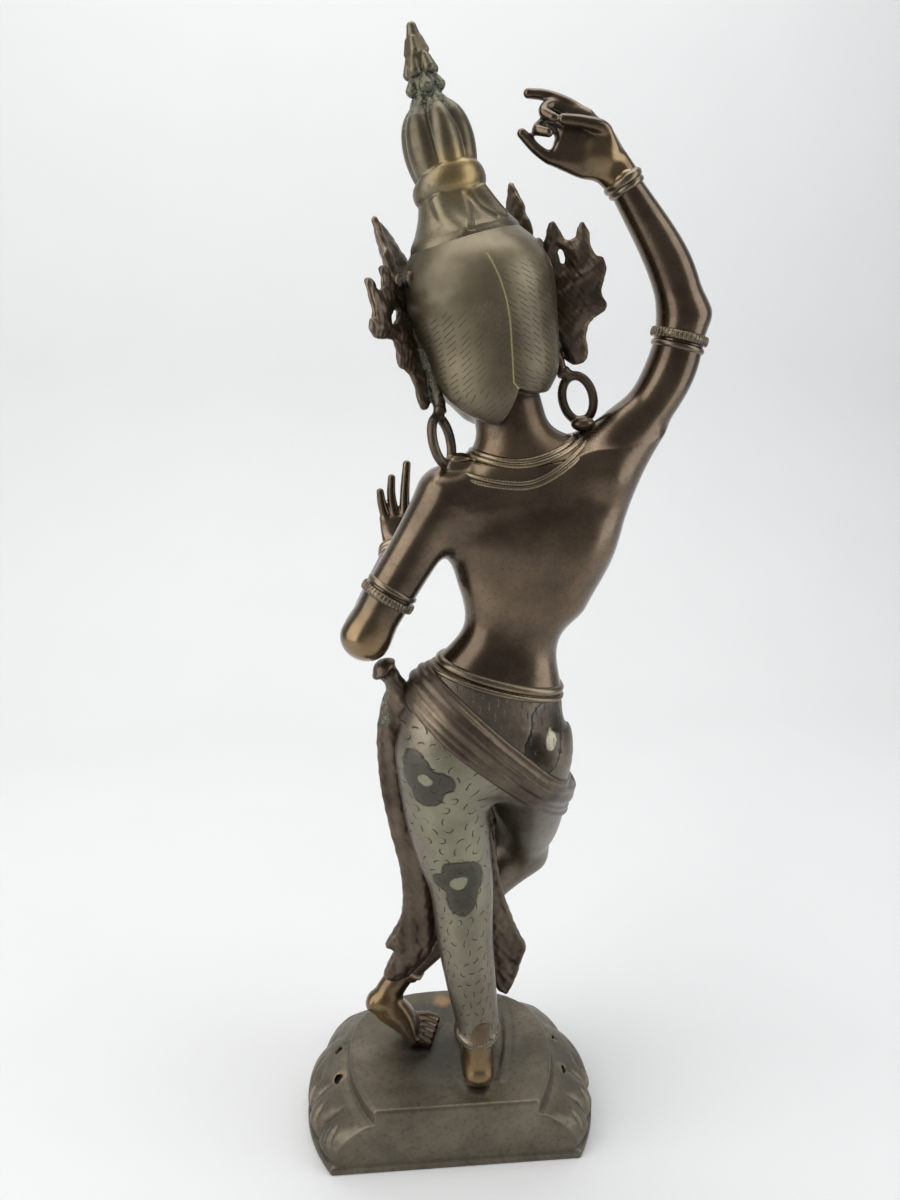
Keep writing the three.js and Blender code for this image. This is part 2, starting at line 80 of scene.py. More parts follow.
TRUNK = [
    (-8, 7, 148, 25, 17), (-11.5, 7, 157, 30.2, 18.6), (-13.2, 6, 167, 28.4, 17),
    (-17, 5, 178.5, 22.6, 13.6), (-20.8, 4.5, 193, 16.5, 11.5), (-24, 4, 209, 22, 13),
    (-25.6, 3.5, 225, 28.4, 15), (-24.8, 4, 240, 26, 14), (-22.5, 4.5, 251, 18, 11.5),
    (-20.6, 3.5, 260, 12.4, 11), (-18.6, 1.5, 270, 11, 10.6), (-16.2, -0.5, 280, 11, 11),
]
LEFT_KNEE = (-3.5, 9, 101)
RIGHT_KNEE = (-29.0, -24, 97.0)
RIGHT_ANKLE = (18.6, -6, 52)
LEFT_SHOULDER = (1.5, 7, 240)
LEFT_ELBOW = (28.6, 11, 195)
LEFT_WRIST = (16.5, -30, 215)
RIGHT_SHOULDER = (-48, 3.4, 251)
RIGHT_ELBOW = (-75.7, 1, 297)
RIGHT_WRIST = (-53.5, 0, 337.5)

# Belt and collar: where the garment and the head join the skin under a ring
BELT = (-17.0, 5.0, 178.6)
BELT_AXIS = (-0.27, 0.06, 1.0)
COLLAR = (-20.6, 2.4, 256.4)
COLLAR_AXIS = (0.05, 0.3, 1.0)


# Smooth forms: each form is a function of places that is below zero inside

def unit(v):
    v = np.asarray(v, float)
    return v / np.linalg.norm(v)


def dots(a, b):
    return np.einsum("ij,ij->i", a, b)


def rounded_curve(points, at, closed=False):
    """Centripetal curve through the rows of points, at places counted in points."""
    p = np.asarray(points, float)
    n = len(p)
    if closed:
        pad = p[np.arange(-1, n + 2) % n]
        last = n
    else:
        pad = np.vstack([2 * p[0] - p[1], p, 2 * p[-1] - p[-2]])
        last = n - 1
    i = np.clip(np.floor(at).astype(int), 0, last - 1)
    w = (at - i)[:, None]
    a, b, c, d = pad[i], pad[i + 1], pad[i + 2], pad[i + 3]
    gap = [np.maximum(np.linalg.norm(v - u, axis=1), 1e-6)[:, None] ** 0.5 for u, v in ((a, b), (b, c), (c, d))]
    start = ((b - a) / gap[0] - (c - a) / (gap[0] + gap[1]) + (c - b) / gap[1]) * gap[1]
    end = ((c - b) / gap[1] - (d - b) / (gap[1] + gap[2]) + (d - c) / gap[2]) * gap[1]
    return b + w * (start + w * (3 * (c - b) - 2 * start - end + w * (2 * (b - c) + start + end)))


def box_gap(p, low, high):
    return np.linalg.norm(np.maximum(np.maximum(low - p, p - high), 0), axis=1)


def near_only(p, low, high, reach, exact):
    """The exact distance near a box, and the gap to the box further off, which is less."""
    gap = box_gap(p, low, high)
    out = gap + 1.0
    near = gap < reach
    if near.any():
        out[near] = exact(p[near])
    return out


class Limb:
    """Oval sections along a smooth line through stations (x, y, z, half width, half depth)."""

    def __init__(self, stations, side=(1, 0, 0), dome=0.7, step=1.6, closed=False, reach=12.0):
        rows = np.array([list(s) + [s[3]] * (5 - len(s)) for s in stations], float)
        last = len(rows) if closed else len(rows) - 1
        fine = np.linspace(0, last, 24 * last + 1)
        line = rounded_curve(rows, fine, closed)
        length = np.concatenate([[0], np.cumsum(np.linalg.norm(np.diff(line[:, :3], axis=0), axis=1))])
        count = max(7, int(length[-1] / step) + 1)
        at = np.interp(np.linspace(0, length[-1], count), length, fine)
        self.rows = rounded_curve(rows, at, closed)
        self.slope = np.gradient(self.rows, axis=0)
        self.closed = closed
        if closed:
            self.slope[0] = self.slope[-1] = (self.rows[1] - self.rows[-2]) / 2
        self.side = unit(side)
        self.dome = dome
        self.reach = reach
        grow = self.rows[:, 3:].max()
        self.low = self.rows[:, :3].min(0) - grow
        self.high = self.rows[:, :3].max(0) + grow

    def at(self, s):
        """Place, half sizes and direction at parameter s, counted in samples."""
        i = np.clip(np.floor(s).astype(int), 0, len(self.rows) - 2)
        w = (s - i)[:, None]
        a, b, u, v = self.rows[i], self.rows[i + 1], self.slope[i], self.slope[i + 1]
        third = 2 * (a - b) + u + v
        second = 3 * (b - a) - 2 * u - v
        row = a + w * (u + w * (second + w * third))
        rate = u + w * (2 * second + 3 * w * third)
        return row, rate[:, :3]

    def nearest(self, p):
        c = self.rows[:, :3]
        s = np.argmin((c * c).sum(1) - 2 * (p @ c.T), axis=1).astype(float)
        top = len(c) - 1
        for _ in range(2):
            row, rate = self.at(s)
            s = s + np.clip(dots(p - row[:, :3], rate) / dots(rate, rate), -1, 1)
            s = s % top if self.closed else np.clip(s, 0, top)
        return s

    def local(self, p):
        """Offsets across, deep and beyond the end, with the half sizes there."""
        s = self.nearest(p)
        row, rate = self.at(s)
        along = rate / np.linalg.norm(rate, axis=1)[:, None]
        across = self.side - along * (along @ self.side)[:, None]
        across /= np.linalg.norm(across, axis=1)[:, None]
        deep = np.cross(along, across)
        off = p - row[:, :3]
        end = dots(off, along)
        if self.closed:
            end = end * 0
        return s, dots(off, across), dots(off, deep), end, row[:, 3], row[:, 4]

    def exact(self, p):
        _, u, v, a, w, d = self.local(p)
        cap = np.maximum(self.dome * np.minimum(w, d), 0.05)
        return oval_gap((u, v, a), (w, d, cap))

    def __call__(self, p):
        return near_only(p, self.low, self.high, self.reach, self.exact)


def oval_gap(offsets, radii):
    near = sum((o / r) ** 2 for o, r in zip(offsets, radii)) ** 0.5
    rate = sum((o / (r * r)) ** 2 for o, r in zip(offsets, radii)) ** 0.5
    return near * (near - 1) / np.maximum(rate, 1e-6)


def pebble(centre, radii, turn=None):
    """An oval body at a place, turned by a matrix whose rows are its own axes."""
    c = np.array(centre, float)
    big = max(radii)

    def exact(p):
        off = p - c
        if turn is not None:
            off = off @ np.asarray(turn).T
        return oval_gap((off[:, 0], off[:, 1], off[:, 2]), radii)

    return lambda p: near_only(p, c - big, c + big, 12.0, exact)


def melt(a, b, k):
    """Two distances joined with a fillet of size k."""
    if k <= 0:
        return np.minimum(a, b)
    h = np.maximum(k - np.abs(a - b), 0) / k
    return np.minimum(a, b) - h * h * k / 4


def carve(a, b, k=0.0):
    """Distance a with form b taken out, with an edge softened over k."""
    return -melt(-a, b, k)


def joined(*parts):
    """Forms joined in turn, each given alone or as (form, fillet)."""
    def form(p):
        total = None
        for part in parts:
            shape, k = part if isinstance(part, tuple) else (part, 0.0)
            d = shape(p)
            total = d if total is None else melt(total, d, k)
        return total
    return form


def minus(form, other, k=0.0):
    return lambda p: carve(form(p), other(p), k)


def dented(form, amount, wave):
    """A form with the soft unevenness of an old wax model."""
    k = 2 * math.pi / wave

    def uneven(p):
        x, y, z = (p * k).T
        swell = np.sin(x + 1.7 * np.sin(0.8 * y)) * np.sin(z + 1.3 * np.sin(0.7 * x))
        return form(p) + amount * (swell + 0.6 * np.sin(2.1 * y + z) * np.sin(1.9 * x - 0.6 * z))
    return uneven


def side_of(place, axis):
    """Below zero on the side of a plane that the axis points away from."""
    c, n = np.array(place, float), unit(axis)
    return lambda p: (p - c) @ n


def kept(form, plane, k=0.0):
    """The part of a form where plane is below zero."""
    return lambda p: -melt(-form(p), -plane(p), k)


def flipped(plane):
    return lambda p: -plane(p)


def moved(form, matrix):
    """A form given in its own frame, placed by a rigid 4 by 4 matrix."""
    m = np.array(matrix, float)
    turn, place = m[:3, :3], m[:3, 3]
    return lambda p: form((p - place) @ turn)


def outline_gap(x, z, outline):
    """Signed distance in a plane to a closed outline of (x, z) points."""
    pts = np.asarray(outline, float)
    best = np.full(len(x), 1e18)
    inside = np.zeros(len(x), bool)
    for (ax, az), (bx, bz) in zip(pts, np.roll(pts, -1, axis=0)):
        ex, ez = bx - ax, bz - az
        wx, wz = x - ax, z - az
        t = np.clip((wx * ex + wz * ez) / (ex * ex + ez * ez), 0, 1)
        best = np.minimum(best, (wx - t * ex) ** 2 + (wz - t * ez) ** 2)
        crosses = (az > z) != (bz > z)
        if az != bz:
            inside ^= crosses & (x < ax + (z - az) * ex / ez)
    gap = np.sqrt(best)
    return np.where(inside, -gap, gap)


class Chart:
    """A rule over a plane, worked out once on a fine grid and read back between its points."""

    def __init__(self, rule, low, high, cell=0.25):
        self.low, self.cell = np.array(low, float), cell
        self.size = np.ceil((np.array(high, float) - self.low) / cell).astype(int) + 1
        u, v = np.meshgrid(*(self.low[k] + cell * np.arange(self.size[k]) for k in range(2)), indexing="ij")
        self.table = rule(u.ravel(), v.ravel()).reshape(self.size)

    def __call__(self, u, v):
        a, b = ((w - low) / self.cell for w, low in zip((u, v), self.low))
        inner_a, inner_b = np.clip(a, 0, self.size[0] - 1.001), np.clip(b, 0, self.size[1] - 1.001)
        i, j = inner_a.astype(int), inner_b.astype(int)
        fa, fb = inner_a - i, inner_b - j
        t = self.table
        value = (t[i, j] * (1 - fa) + t[i + 1, j] * fa) * (1 - fb) + (t[i, j + 1] * (1 - fa) + t[i + 1, j + 1] * fa) * fb
        return value + self.cell * np.hypot(a - inner_a, b - inner_b)


def chart_of(outline, margin=6.0):
    """Distance to a closed outline, as a chart."""
    pts = np.asarray(outline, float)
    return Chart(lambda x, z: outline_gap(x, z, pts), pts.min(0) - margin, pts.max(0) + margin)


def soft_outline(points, times=4):
    """A closed smooth line through the points of a flat form."""
    p = np.asarray(points, float)
    return rounded_curve(p, np.linspace(0, len(p), times * len(p), endpoint=False), closed=True)


# From a form to a mesh

CORNERS = np.array([(i, j, k) for i in (0, 1) for j in (0, 1) for k in (0, 1)])
EDGES = [(a, b) for a in range(8) for b in range(a + 1, 8) if np.abs(CORNERS[a] - CORNERS[b]).sum() == 1]
BLOCK = 8


def in_batches(form, p, size=150000):
    if len(p) <= size:
        return form(p)
    return np.concatenate([form(p[i:i + size]) for i in range(0, len(p), size)])


def slope_of(form, p, value, h=0.05):
    """Rate of a form at places where its value is known."""
    ahead = [in_batches(form, p + h * np.eye(3)[k]) for k in range(3)]
    return (np.stack(ahead, 1) - value[:, None]) / h


def skin_of(form, low, high, cell):
    """A quad mesh on the zero surface of a form inside a box, with its unit normals."""
    low = np.array(low, float) - 2 * cell
    blocks = np.ceil((np.array(high, float) + 2 * cell - low) / (cell * BLOCK)).astype(int)
    index = np.indices(blocks).reshape(3, -1).T
    middle = low + (index * BLOCK + BLOCK / 2 - 0.5) * cell
    rough = in_batches(form, middle)
    grid = np.repeat(np.repeat(np.repeat(rough.reshape(blocks), BLOCK, 0), BLOCK, 1), BLOCK, 2)
    near = np.abs(rough) < cell * BLOCK * 1.15 + 0.6
    inner = np.indices((BLOCK,) * 3).reshape(3, -1).T
    node = (index[near][:, None, :] * BLOCK + inner[None]).reshape(-1, 3)
    grid[node[:, 0], node[:, 1], node[:, 2]] = in_batches(form, low + node * cell)
    inside = grid < 0
    nx, ny, nz = (s - 1 for s in grid.shape)
    count = sum(inside[i:i + nx, j:j + ny, k:k + nz].astype(np.int8) for i, j, k in CORNERS)
    active = (count > 0) & (count < 8)
    cells = np.argwhere(active)
    value = np.stack([grid[cells[:, 0] + i, cells[:, 1] + j, cells[:, 2] + k] for i, j, k in CORNERS])
    total = np.zeros((len(cells), 3))
    hits = np.zeros(len(cells))
    for a, b in EDGES:
        cross = (value[a] < 0) != (value[b] < 0)
        t = np.where(cross, value[a] / np.where(cross, value[a] - value[b], 1), 0)
        total += cross[:, None] * (CORNERS[a] + t[:, None] * (CORNERS[b] - CORNERS[a]))
        hits += cross
    points = low + cell * (cells + total / hits[:, None])
    number = np.full(active.shape, -1)
    number[active] = np.arange(len(cells))
    quads = []
    for axis in range(3):
        u, v = (axis + 1) % 3, (axis + 2) % 3
        head = [slice(1, n) for n in (nx, ny, nz)]
        tail = list(head)
        head[axis], tail[axis] = slice(0, -1), slice(1, None)
        first, second = inside[tuple(head)], inside[tuple(tail)]
        spot = np.argwhere(first != second)
        spot[:, u] += 1
        spot[:, v] += 1
        leaves = inside[spot[:, 0], spot[:, 1], spot[:, 2]]
        ring = []
        for du, dv in ((-1, -1), (0, -1), (0, 0), (-1, 0)):
            at = spot.copy()
            at[:, u] += du
            at[:, v] += dv
            ring.append(number[at[:, 0], at[:, 1], at[:, 2]])
        ring = np.stack(ring, 1)
        ring[~leaves] = ring[~leaves][:, ::-1]
        quads.append(ring)
    quads = np.concatenate(quads)
    for loosen in (0.5, 0.5, 0.0):
        if loosen:
            points = relaxed(points, quads, loosen)
        value = in_batches(form, points)
        g = slope_of(form, points, value)
        step = value / np.maximum(dots(g, g), 0.15)
        points = points - g * np.clip(step, -cell, cell)[:, None]
    return points, quads, g / np.maximum(np.linalg.norm(g, axis=1), 1e-9)[:, None]


def relaxed(points, quads, share):
    """Points moved part of the way to the middle of the faces around them."""
    middle = points[quads].mean(1)
    flat = quads.ravel()
    many = np.maximum(np.bincount(flat, minlength=len(points)), 1)
    pulled = np.stack([
        np.bincount(flat, np.repeat(middle[:, k], 4), len(points)) / many for k in range(3)
    ], 1)
    return points + share * (pulled - points)


def hollow_and_edge(form, points, normals, reach=2.2, depth=1.1):
    """How much of a crease and how much of an edge lies at each point, from 0 to 1."""
    open_air = in_batches(form, points + normals * reach) / reach
    body = -in_batches(form, points - normals * depth) / depth
    return np.clip(1 - open_air, 0, 1), np.clip(1 - body, 0, 1)


def plain_mesh(name, points, faces, attributes=None):
    """A smooth-shaded mesh object in the row frame from places in millimetres."""
    mesh = bpy.data.meshes.new(name)
    faces = np.asarray(faces)
    mesh.vertices.add(len(points))
    mesh.vertices.foreach_set("co", ((points + SHIFT) / 1000).astype(np.float32).ravel())
    mesh.loops.add(faces.size)
    mesh.loops.foreach_set("vertex_index", faces.astype(np.int32).ravel())
    mesh.polygons.add(len(faces))
    mesh.polygons.foreach_set("loop_start", np.arange(0, faces.size, faces.shape[1], dtype=np.int32))
    mesh.polygons.foreach_set("use_smooth", np.ones(len(faces), bool))
    mesh.update(calc_edges=True)
    for key, values in (attributes or {}).items():
        layer = mesh.attributes.new(key, "FLOAT", "POINT")
        layer.data.foreach_set("value", np.asarray(values, np.float32))
    piece = bpy.data.objects.new(name, mesh)
    bpy.context.scene.collection.objects.link(piece)
    return piece


def cast(name, form, low, high, cell, extra=None, reach=2.2, place=None):
    """A piece made from a form, with its creases and edges marked for the patina, the painted shade in its hollows and
    the rubbed edges.
    """
    points, quads, normals = skin_of(form, low, high, cell * COARSE)
    crease, edge = hollow_and_edge(form, points, normals, reach)
    marks = {"crease": crease, "edge": edge}
    for key, rule in (extra or {}).items():
        marks[key] = rule(points)
    if place is not None:
        points = points @ place[:3, :3].T + place[:3, 3]
    return plain_mesh(name, points, quads, marks)


def settled(piece, node, material):
    """Gives a finished piece its finish, hangs it under the root empty and hides the CAD part it replaces."""
    piece.data.materials.clear()
    piece.data.materials.append(material)
    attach(piece, "root")
    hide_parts(node)
    return piece


def hugging(form, centre, axis, side, count=64, lift=0.0, far=60.0, rise=None):
    """A loop of places where rays from a centre leave a form: flat, or rising by a rule of the turn."""
    c, n = np.array(centre, float), unit(axis)
    u = unit(np.asarray(side, float) - n * np.dot(side, n))
    v = np.cross(n, u)
    turn = np.linspace(0, 2 * math.pi, count, endpoint=False)
    rays = np.cos(turn)[:, None] * u + np.sin(turn)[:, None] * v
    if rise is not None:
        rays = rays + rise(turn)[:, None] * n
        rays /= np.linalg.norm(rays, axis=1)[:, None]
    reach = np.linspace(1.0, far, 90)
    places = c + rays[:, None, :] * reach[None, :, None]
    value = form(places.reshape(-1, 3)).reshape(count, -1)
    first = np.argmax(value > 0, axis=1)
    low, high = reach[np.maximum(first - 1, 0)], reach[first]
    for _ in range(14):
        mid = (low + high) / 2
        out = form(c + rays * mid[:, None]) > 0
        high = np.where(out, mid, high)
        low = np.where(out, low, mid)
    return c + rays * (high + lift)[:, None]


class Stack:
    """Level ovals (x, y, z, half width, half depth) on top of each other, smooth between them."""

    def __init__(self, stations, dome=0.5, reach=12.0):
        rows = np.array([list(s) + [s[3]] * (5 - len(s)) for s in stations], float)
        z, size = rows[:, 2], rows[:, [0, 1, 3, 4]]
        self.z = np.linspace(z[0], z[-1], int((z[-1] - z[0]) / 0.25) + 2)
        rate = np.gradient(size, z, axis=0)
        i = np.clip(np.searchsorted(z, self.z, side="right") - 1, 0, len(z) - 2)
        gap = (z[i + 1] - z[i])[:, None]
        w = (self.z - z[i])[:, None] / gap
        a, b, u, v = size[i], size[i + 1], rate[i] * gap, rate[i + 1] * gap
        self.size = a + w * (u + w * (3 * (b - a) - 2 * u - v + w * (2 * (a - b) + u + v)))
        lean = np.gradient(self.size, self.z, axis=0)
        steep = np.abs(lean[:, 2:]).max(1) + np.abs(lean[:, :2]).max(1)
        self.flat = 1 / np.sqrt(1 + np.minimum(steep, 4) ** 2)
        self.dome = dome
        self.reach = reach
        grow = self.size[:, 2:].max()
        self.low = np.array([(self.size[:, 0] - grow).min(), (self.size[:, 1] - grow).min(), z[0] - grow * dome])
        self.high = np.array([(self.size[:, 0] + grow).max(), (self.size[:, 1] + grow).max(), z[-1] + grow * dome])

    def exact(self, p):
        at = np.clip(p[:, 2], self.z[0], self.z[-1])
        cx, cy, w, d = (np.interp(at, self.z, self.size[:, k]) for k in range(4))
        cap = np.maximum(self.dome * np.minimum(w, d), 0.05)
        flat = np.interp(at, self.z, self.flat)
        return oval_gap((p[:, 0] - cx, p[:, 1] - cy, p[:, 2] - at), (w, d, cap)) * flat

    def __call__(self, p):
        return near_only(p, self.low, self.high, self.reach, self.exact)


def slab(outline, half, edge=0.8, swell=0.0, holes=(), swell_over=5.0, relief=None):
    """A flat form in the x-z plane, thicker in the middle, with a rounded edge."""
    low, high = np.min(outline, 0), np.max(outline, 0)
    thick = half + swell + 1.5
    plan, cuts = chart_of(outline, 14), [chart_of(hole, 3) for hole in holes]

    def exact(p):
        across = plan(p[:, 0], p[:, 2])
        for cut in cuts:
            across = np.maximum(across, -cut(p[:, 0], p[:, 2]))
        rise = np.clip(-across / swell_over, 0, 1)
        rise = rise * rise * (3 - 2 * rise)
        thin = half + swell * rise
        if relief is not None:
            thin = thin + relief(p, across)
        u, v = across + edge, np.abs(p[:, 1]) - thin + edge
        return np.minimum(np.maximum(u, v), 0) + np.hypot(np.maximum(u, 0), np.maximum(v, 0)) - edge

    low3 = np.array([low[0], -thick, low[1]])
    high3 = np.array([high[0], thick, high[1]])
    return lambda p: near_only(p, low3, high3, 12.0, exact)


def groove(line, width, depth, side=(0, 1, 0)):
    """A shallow cut along a line of places."""
    return Limb([(*q, width, depth) for q in line], side=side, dome=0.9, step=1.0, reach=4.0)


# The figure's forms

def arm(*stations, side=(0, 1, 0), dome=0.9):
    return Limb(stations, side=side, dome=dome)


def torso():
    trunk = Limb(TRUNK)
    shoulders = Limb([(0.5, 6, 241, 8.5, 8), (-24, 5, 248, 10, 10.5), (-49, 4, 250, 10, 9)], side=(0, 0, 1))
    flank = Limb([(-61, 3, 262, 7, 6), (-52.5, 3.5, 243, 8.2, 8), (-43.5, 4, 223, 8.6, 9), (-38, 4.5, 206, 6, 7)])
    return joined(
        trunk, (shoulders, 8), (flank, 10),
        (pebble((-12, -9, 228), (9.5, 9, 9)), 3), (pebble((-37, -9, 231), (9.5, 9, 9)), 3),
        (pebble((-2.6, 8.6, 253), (4.6, 3, 2.4)), 1.6), (pebble((-43.6, 2.6, 263.4), (4, 3, 2.4)), 1.6),
    )


def left_arm():
    upper = arm((*LEFT_SHOULDER, 10.2), (11, 8.6, 225, 8.6), (21.5, 10.4, 208, 8), (*LEFT_ELBOW, 7.2))
    fore = arm((*LEFT_ELBOW, 7.2), (25, -3, 201, 6.8), (*LEFT_WRIST, 4.8, 4.2), side=(1, 0, 0), dome=0.7)
    return joined(upper, (fore, 5))


def right_arm():
    upper = arm(
        (*RIGHT_SHOULDER, 10.2), (-57, 2.6, 260, 9.2), (-65.6, 2.2, 269, 8), (-72, 1.6, 281, 8.2),
        (*RIGHT_ELBOW, 7.5),
    )
    fore = arm((*RIGHT_ELBOW, 7.4), (-69.6, 0.6, 313, 7.1), (*RIGHT_WRIST, 5.6, 4.8), dome=0.7)
    return joined(upper, (fore, 5))


def skin():
    """Back, chest and arms, from the belt up to the collar."""
    trunk = kept(kept(torso(), flipped(side_of(BELT, BELT_AXIS))), side_of(COLLAR, COLLAR_AXIS))
    return joined(trunk, (left_arm(), 7), (right_arm(), 8))


STANDING_HEM = ((-8.8, 19.0, 46.2), (0.1, 0.36, 1.0))
CROSSING_CUFF = ((15.4, -7.4, 54.8), (-0.72, 0.27, 0.63))


def standing_leg():
    limb = Limb([
        (0, 7, 163, 12, 14), (3, 8, 151, 15.4, 17.4), (1.8, 8, 134, 15.4, 15.8), (-0.6, 8.5, 116, 13.8, 13.8),
        (*LEFT_KNEE, 11.6, 12.3), (-4.8, 12.5, 80, 10.1, 11.3), (-6.6, 15.5, 65, 9.1, 9.7),
        (-8.6, 18, 50, 7.9, 8.3), (-9, 19.5, 42, 7.6, 8), (-9, 20.5, 34, 6.6, 7.2),
    ])
    return kept(limb, flipped(side_of(*STANDING_HEM)), 0.8)


def crossing_leg():
    thigh = Limb([(-27, 5, 146, 15, 17), (-29.5, -5, 129, 14, 15.5), (-31.5, -16, 112, 12, 13.5), (*RIGHT_KNEE, 10, 11)])
    shin = Limb([
        (-31.1, -24, 95.1, 11, 11), (-19, -20.5, 86, 9.2, 9.6), (2, -13, 66, 7, 7.4),
        (18.6, -6, 52, 5.6, 5.8), (21, -4.6, 47, 5, 5.4),
    ], side=(0, 1, 0), dome=0.85)
    return joined(thigh, (kept(shin, flipped(side_of(*CROSSING_CUFF)), 0.8), 5))


def hips():
    trunk = Limb(TRUNK)
    seat = [(pebble((-27, 11, 150), (14, 12.5, 13)), 6), (pebble((2, 11, 157), (15, 13, 15)), 7)]
    return joined(trunk, *seat, (standing_leg(), 6), (crossing_leg(), 2.6))


def ringed(place, axis, radii, wide, thick, side=(1, 0, 0)):
    """A raised ring round an oval section."""
    c, n = np.array(place, float), unit(axis)
    u = unit(np.asarray(side, float) - n * np.dot(side, n))
    v = np.cross(n, u)
    turn = np.linspace(0, 2 * math.pi, 16, endpoint=False)
    loop = [(*(c + radii[0] * math.cos(t) * u + radii[1] * math.sin(t) * v), wide, thick) for t in turn]
    return Limb(loop, side=tuple(n), closed=True, step=1.4, reach=6.0)


def garment():
    hem, cuff = STANDING_HEM, CROSSING_CUFF
    rims = [
        (ringed(hem[0], hem[1], (7.3, 7.8), 1.0, 1.0), 0.7),
        (ringed(np.array(hem[0]) + 2.2 * unit(hem[1]), hem[1], (7.5, 7.9), 0.5, 0.6), 0.6),
        (ringed(cuff[0], cuff[1], (5.5, 5.6), 0.6, 0.8, side=(0, 1, 0)), 0.5),
        (ringed(np.array(cuff[0]) + 2.6 * unit(cuff[1]), cuff[1], (5.7, 5.9), 0.5, 0.7, side=(0, 1, 0)), 0.5),
    ]
    return joined(kept(hips(), side_of(BELT, BELT_AXIS)), *rims)


def toe_row(big, little, reach, sizes):
    row = []
    for i, size in enumerate(sizes):
        root = np.array(big) + (np.array(little) - big) * i / 4
        length = 9.2 - 0.7 * i
        tip = root + length * np.array(reach)
        knuckle = root + 0.55 * (tip - root)
        row.append((Limb([
            (*root, size * 1.15, size * 1.1), (knuckle[0], knuckle[1], root[2] + 0.5, size, size),
            (tip[0], tip[1], SOLE + 0.95 * size, size * 0.95, size * 0.9),
        ], side=(reach[1], -reach[0], 0), dome=0.95, step=1.0, reach=5.0), 0.7 if i else 1.2))
    return row


TOES = (2.4, 2.05, 1.9, 1.75, 1.6)


def standing_foot():
    ankle = Limb([(-8.8, 19.4, 52, 6.4, 6.8), (-8.8, 20.6, 44, 6.1, 6.9), (-8.7, 22.2, 37, 5.4, 6.2),
                  (-8.6, 24.2, 31.4, 4.9, 5)])
    sole = Limb([
        (-8.6, 26, SOLE + 4.2, 4.7, 4.2), (-8.8, 19, SOLE + 7.2, 6, 7.2), (-9.2, 11, SOLE + 6, 5.8, 6),
        (-9.8, 3, SOLE + 4.4, 7, 4.4), (-10.4, -4, SOLE + 3, 8, 3),
    ], dome=0.6)
    return joined(ankle, (sole, 3), *toe_row((-16.6, -5, SOLE + 2.6), (-4, -2, SOLE + 2.2), (-0.1, -1, 0), TOES))


def crossing_foot():
    ankle = Limb([(14, -8, 56, 4.8, 5), (18.8, -6, 51.6, 4.7, 5), (22.4, -4.8, 47, 4.6, 5.2), (25, -4, 43.5, 4.6, 4.8)],
                 side=(0, 1, 0))
    arch = Limb([
        (29.4, -3.6, 42.8, 3.6, 3.4), (24.4, -3.6, 40.8, 5, 5.8), (17.8, -3, 35.4, 6.6, 5.2),
        (13.5, -2.4, SOLE + 3.4, 8.6, 3.1),
    ], side=(0, 1, 0))
    return joined(ankle, (arch, 3), *toe_row((14, -9.2, SOLE + 3), (14.6, 3.6, SOLE + 2.8), (-1, 0, 0), TOES))


FINGER = 1.72


def finger(*line, size=FINGER):
    last = len(line) - 1
    return Limb([(*q, size * (1.15 - 0.3 * i / last)) for i, q in enumerate(line)],
                side=(0.2, 1, 0.3), dome=0.95, step=1.1, reach=5.0)


def raised_hand():
    palm = Limb([
        (*RIGHT_WRIST, 5.6, 4.7), (-49.5, 0, 341.6, 6.3, 4.1), (-44, 0.5, 345.4, 8.7, 3.8),
        (-38, 0.5, 348.6, 8.7, 3.2), (-34.6, 0.5, 350, 7.3, 2.7),
    ], side=(0.45, 0, -0.9))
    index = finger((-42, -0.5, 355.4), (-35, -1, 359.2), (-29, -1, 361), (-23.8, 0, 361.2))
    middle = finger((-37, -0.4, 355.6), (-30.6, 0.4, 358), (-28.2, 2.8, 355.8), (-30.6, 5.2, 353.8))
    ring = finger((-36, 0, 350.5), (-29, 0.4, 352.8), (-26.6, 2.6, 351), (-29.4, 5.2, 349.8))
    little = finger((-38, 0, 342.2), (-31.6, 0.3, 343), (-26.4, 0.6, 346), (-21.9, 1.4, 350))
    thumb = finger((-49, 2, 346), (-46.4, 4.4, 351), (-40, 5.8, 352.6), (-33.4, 6.2, 353.2), size=1.95)
    mound = pebble((-46.5, 2.6, 345.5), (4.5, 3, 4.5))
    return joined(palm, (mound, 3), (index, 2), (middle, 1.6), (ring, 1.6), (little, 2.4), (thumb, 1.2))


def chest_hand():
    palm = Limb([(*LEFT_WRIST, 4.9, 4.3), (15.6, -32, 220, 6.3, 3.3), (15.4, -32.5, 226, 7, 2.7)], side=(1, 0, 0))
    little = finger((20, -32.5, 226), (21.5, -32.5, 232), (22, -32, 236.2), size=1.6)
    ring = finger((16.8, -32.8, 227), (18, -33, 235), (17.8, -32.4, 241.2), size=1.6)
    middle = finger((13.4, -32.8, 227), (13, -33, 237), (12.3, -32.4, 246), size=1.7)
    index = finger((10.4, -33, 226), (8.4, -35.4, 231.6), (7.6, -38.4, 229.4), size=1.6)
    thumb = finger((10, -34, 218), (5.9, -37, 222), (6.8, -39, 227.4), size=1.8)
    return joined(palm, (little, 1), (ring, 1), (middle, 1), (index, 1.4), (thumb, 1.6))


# The head, in a frame of its own with the face looking along -Y

def head_matrix():
    turn = Matrix.Rotation(math.radians(HEAD_LEAN), 4, "Y") @ Matrix.Rotation(math.radians(HEAD_TURN), 4, "Z")
    return Matrix.Translation(Vector(HEAD_CENTRE)) @ turn


HEAD = np.array(head_matrix())


def to_head(p):
    return (p - HEAD[:3, 3]) @ HEAD[:3, :3]


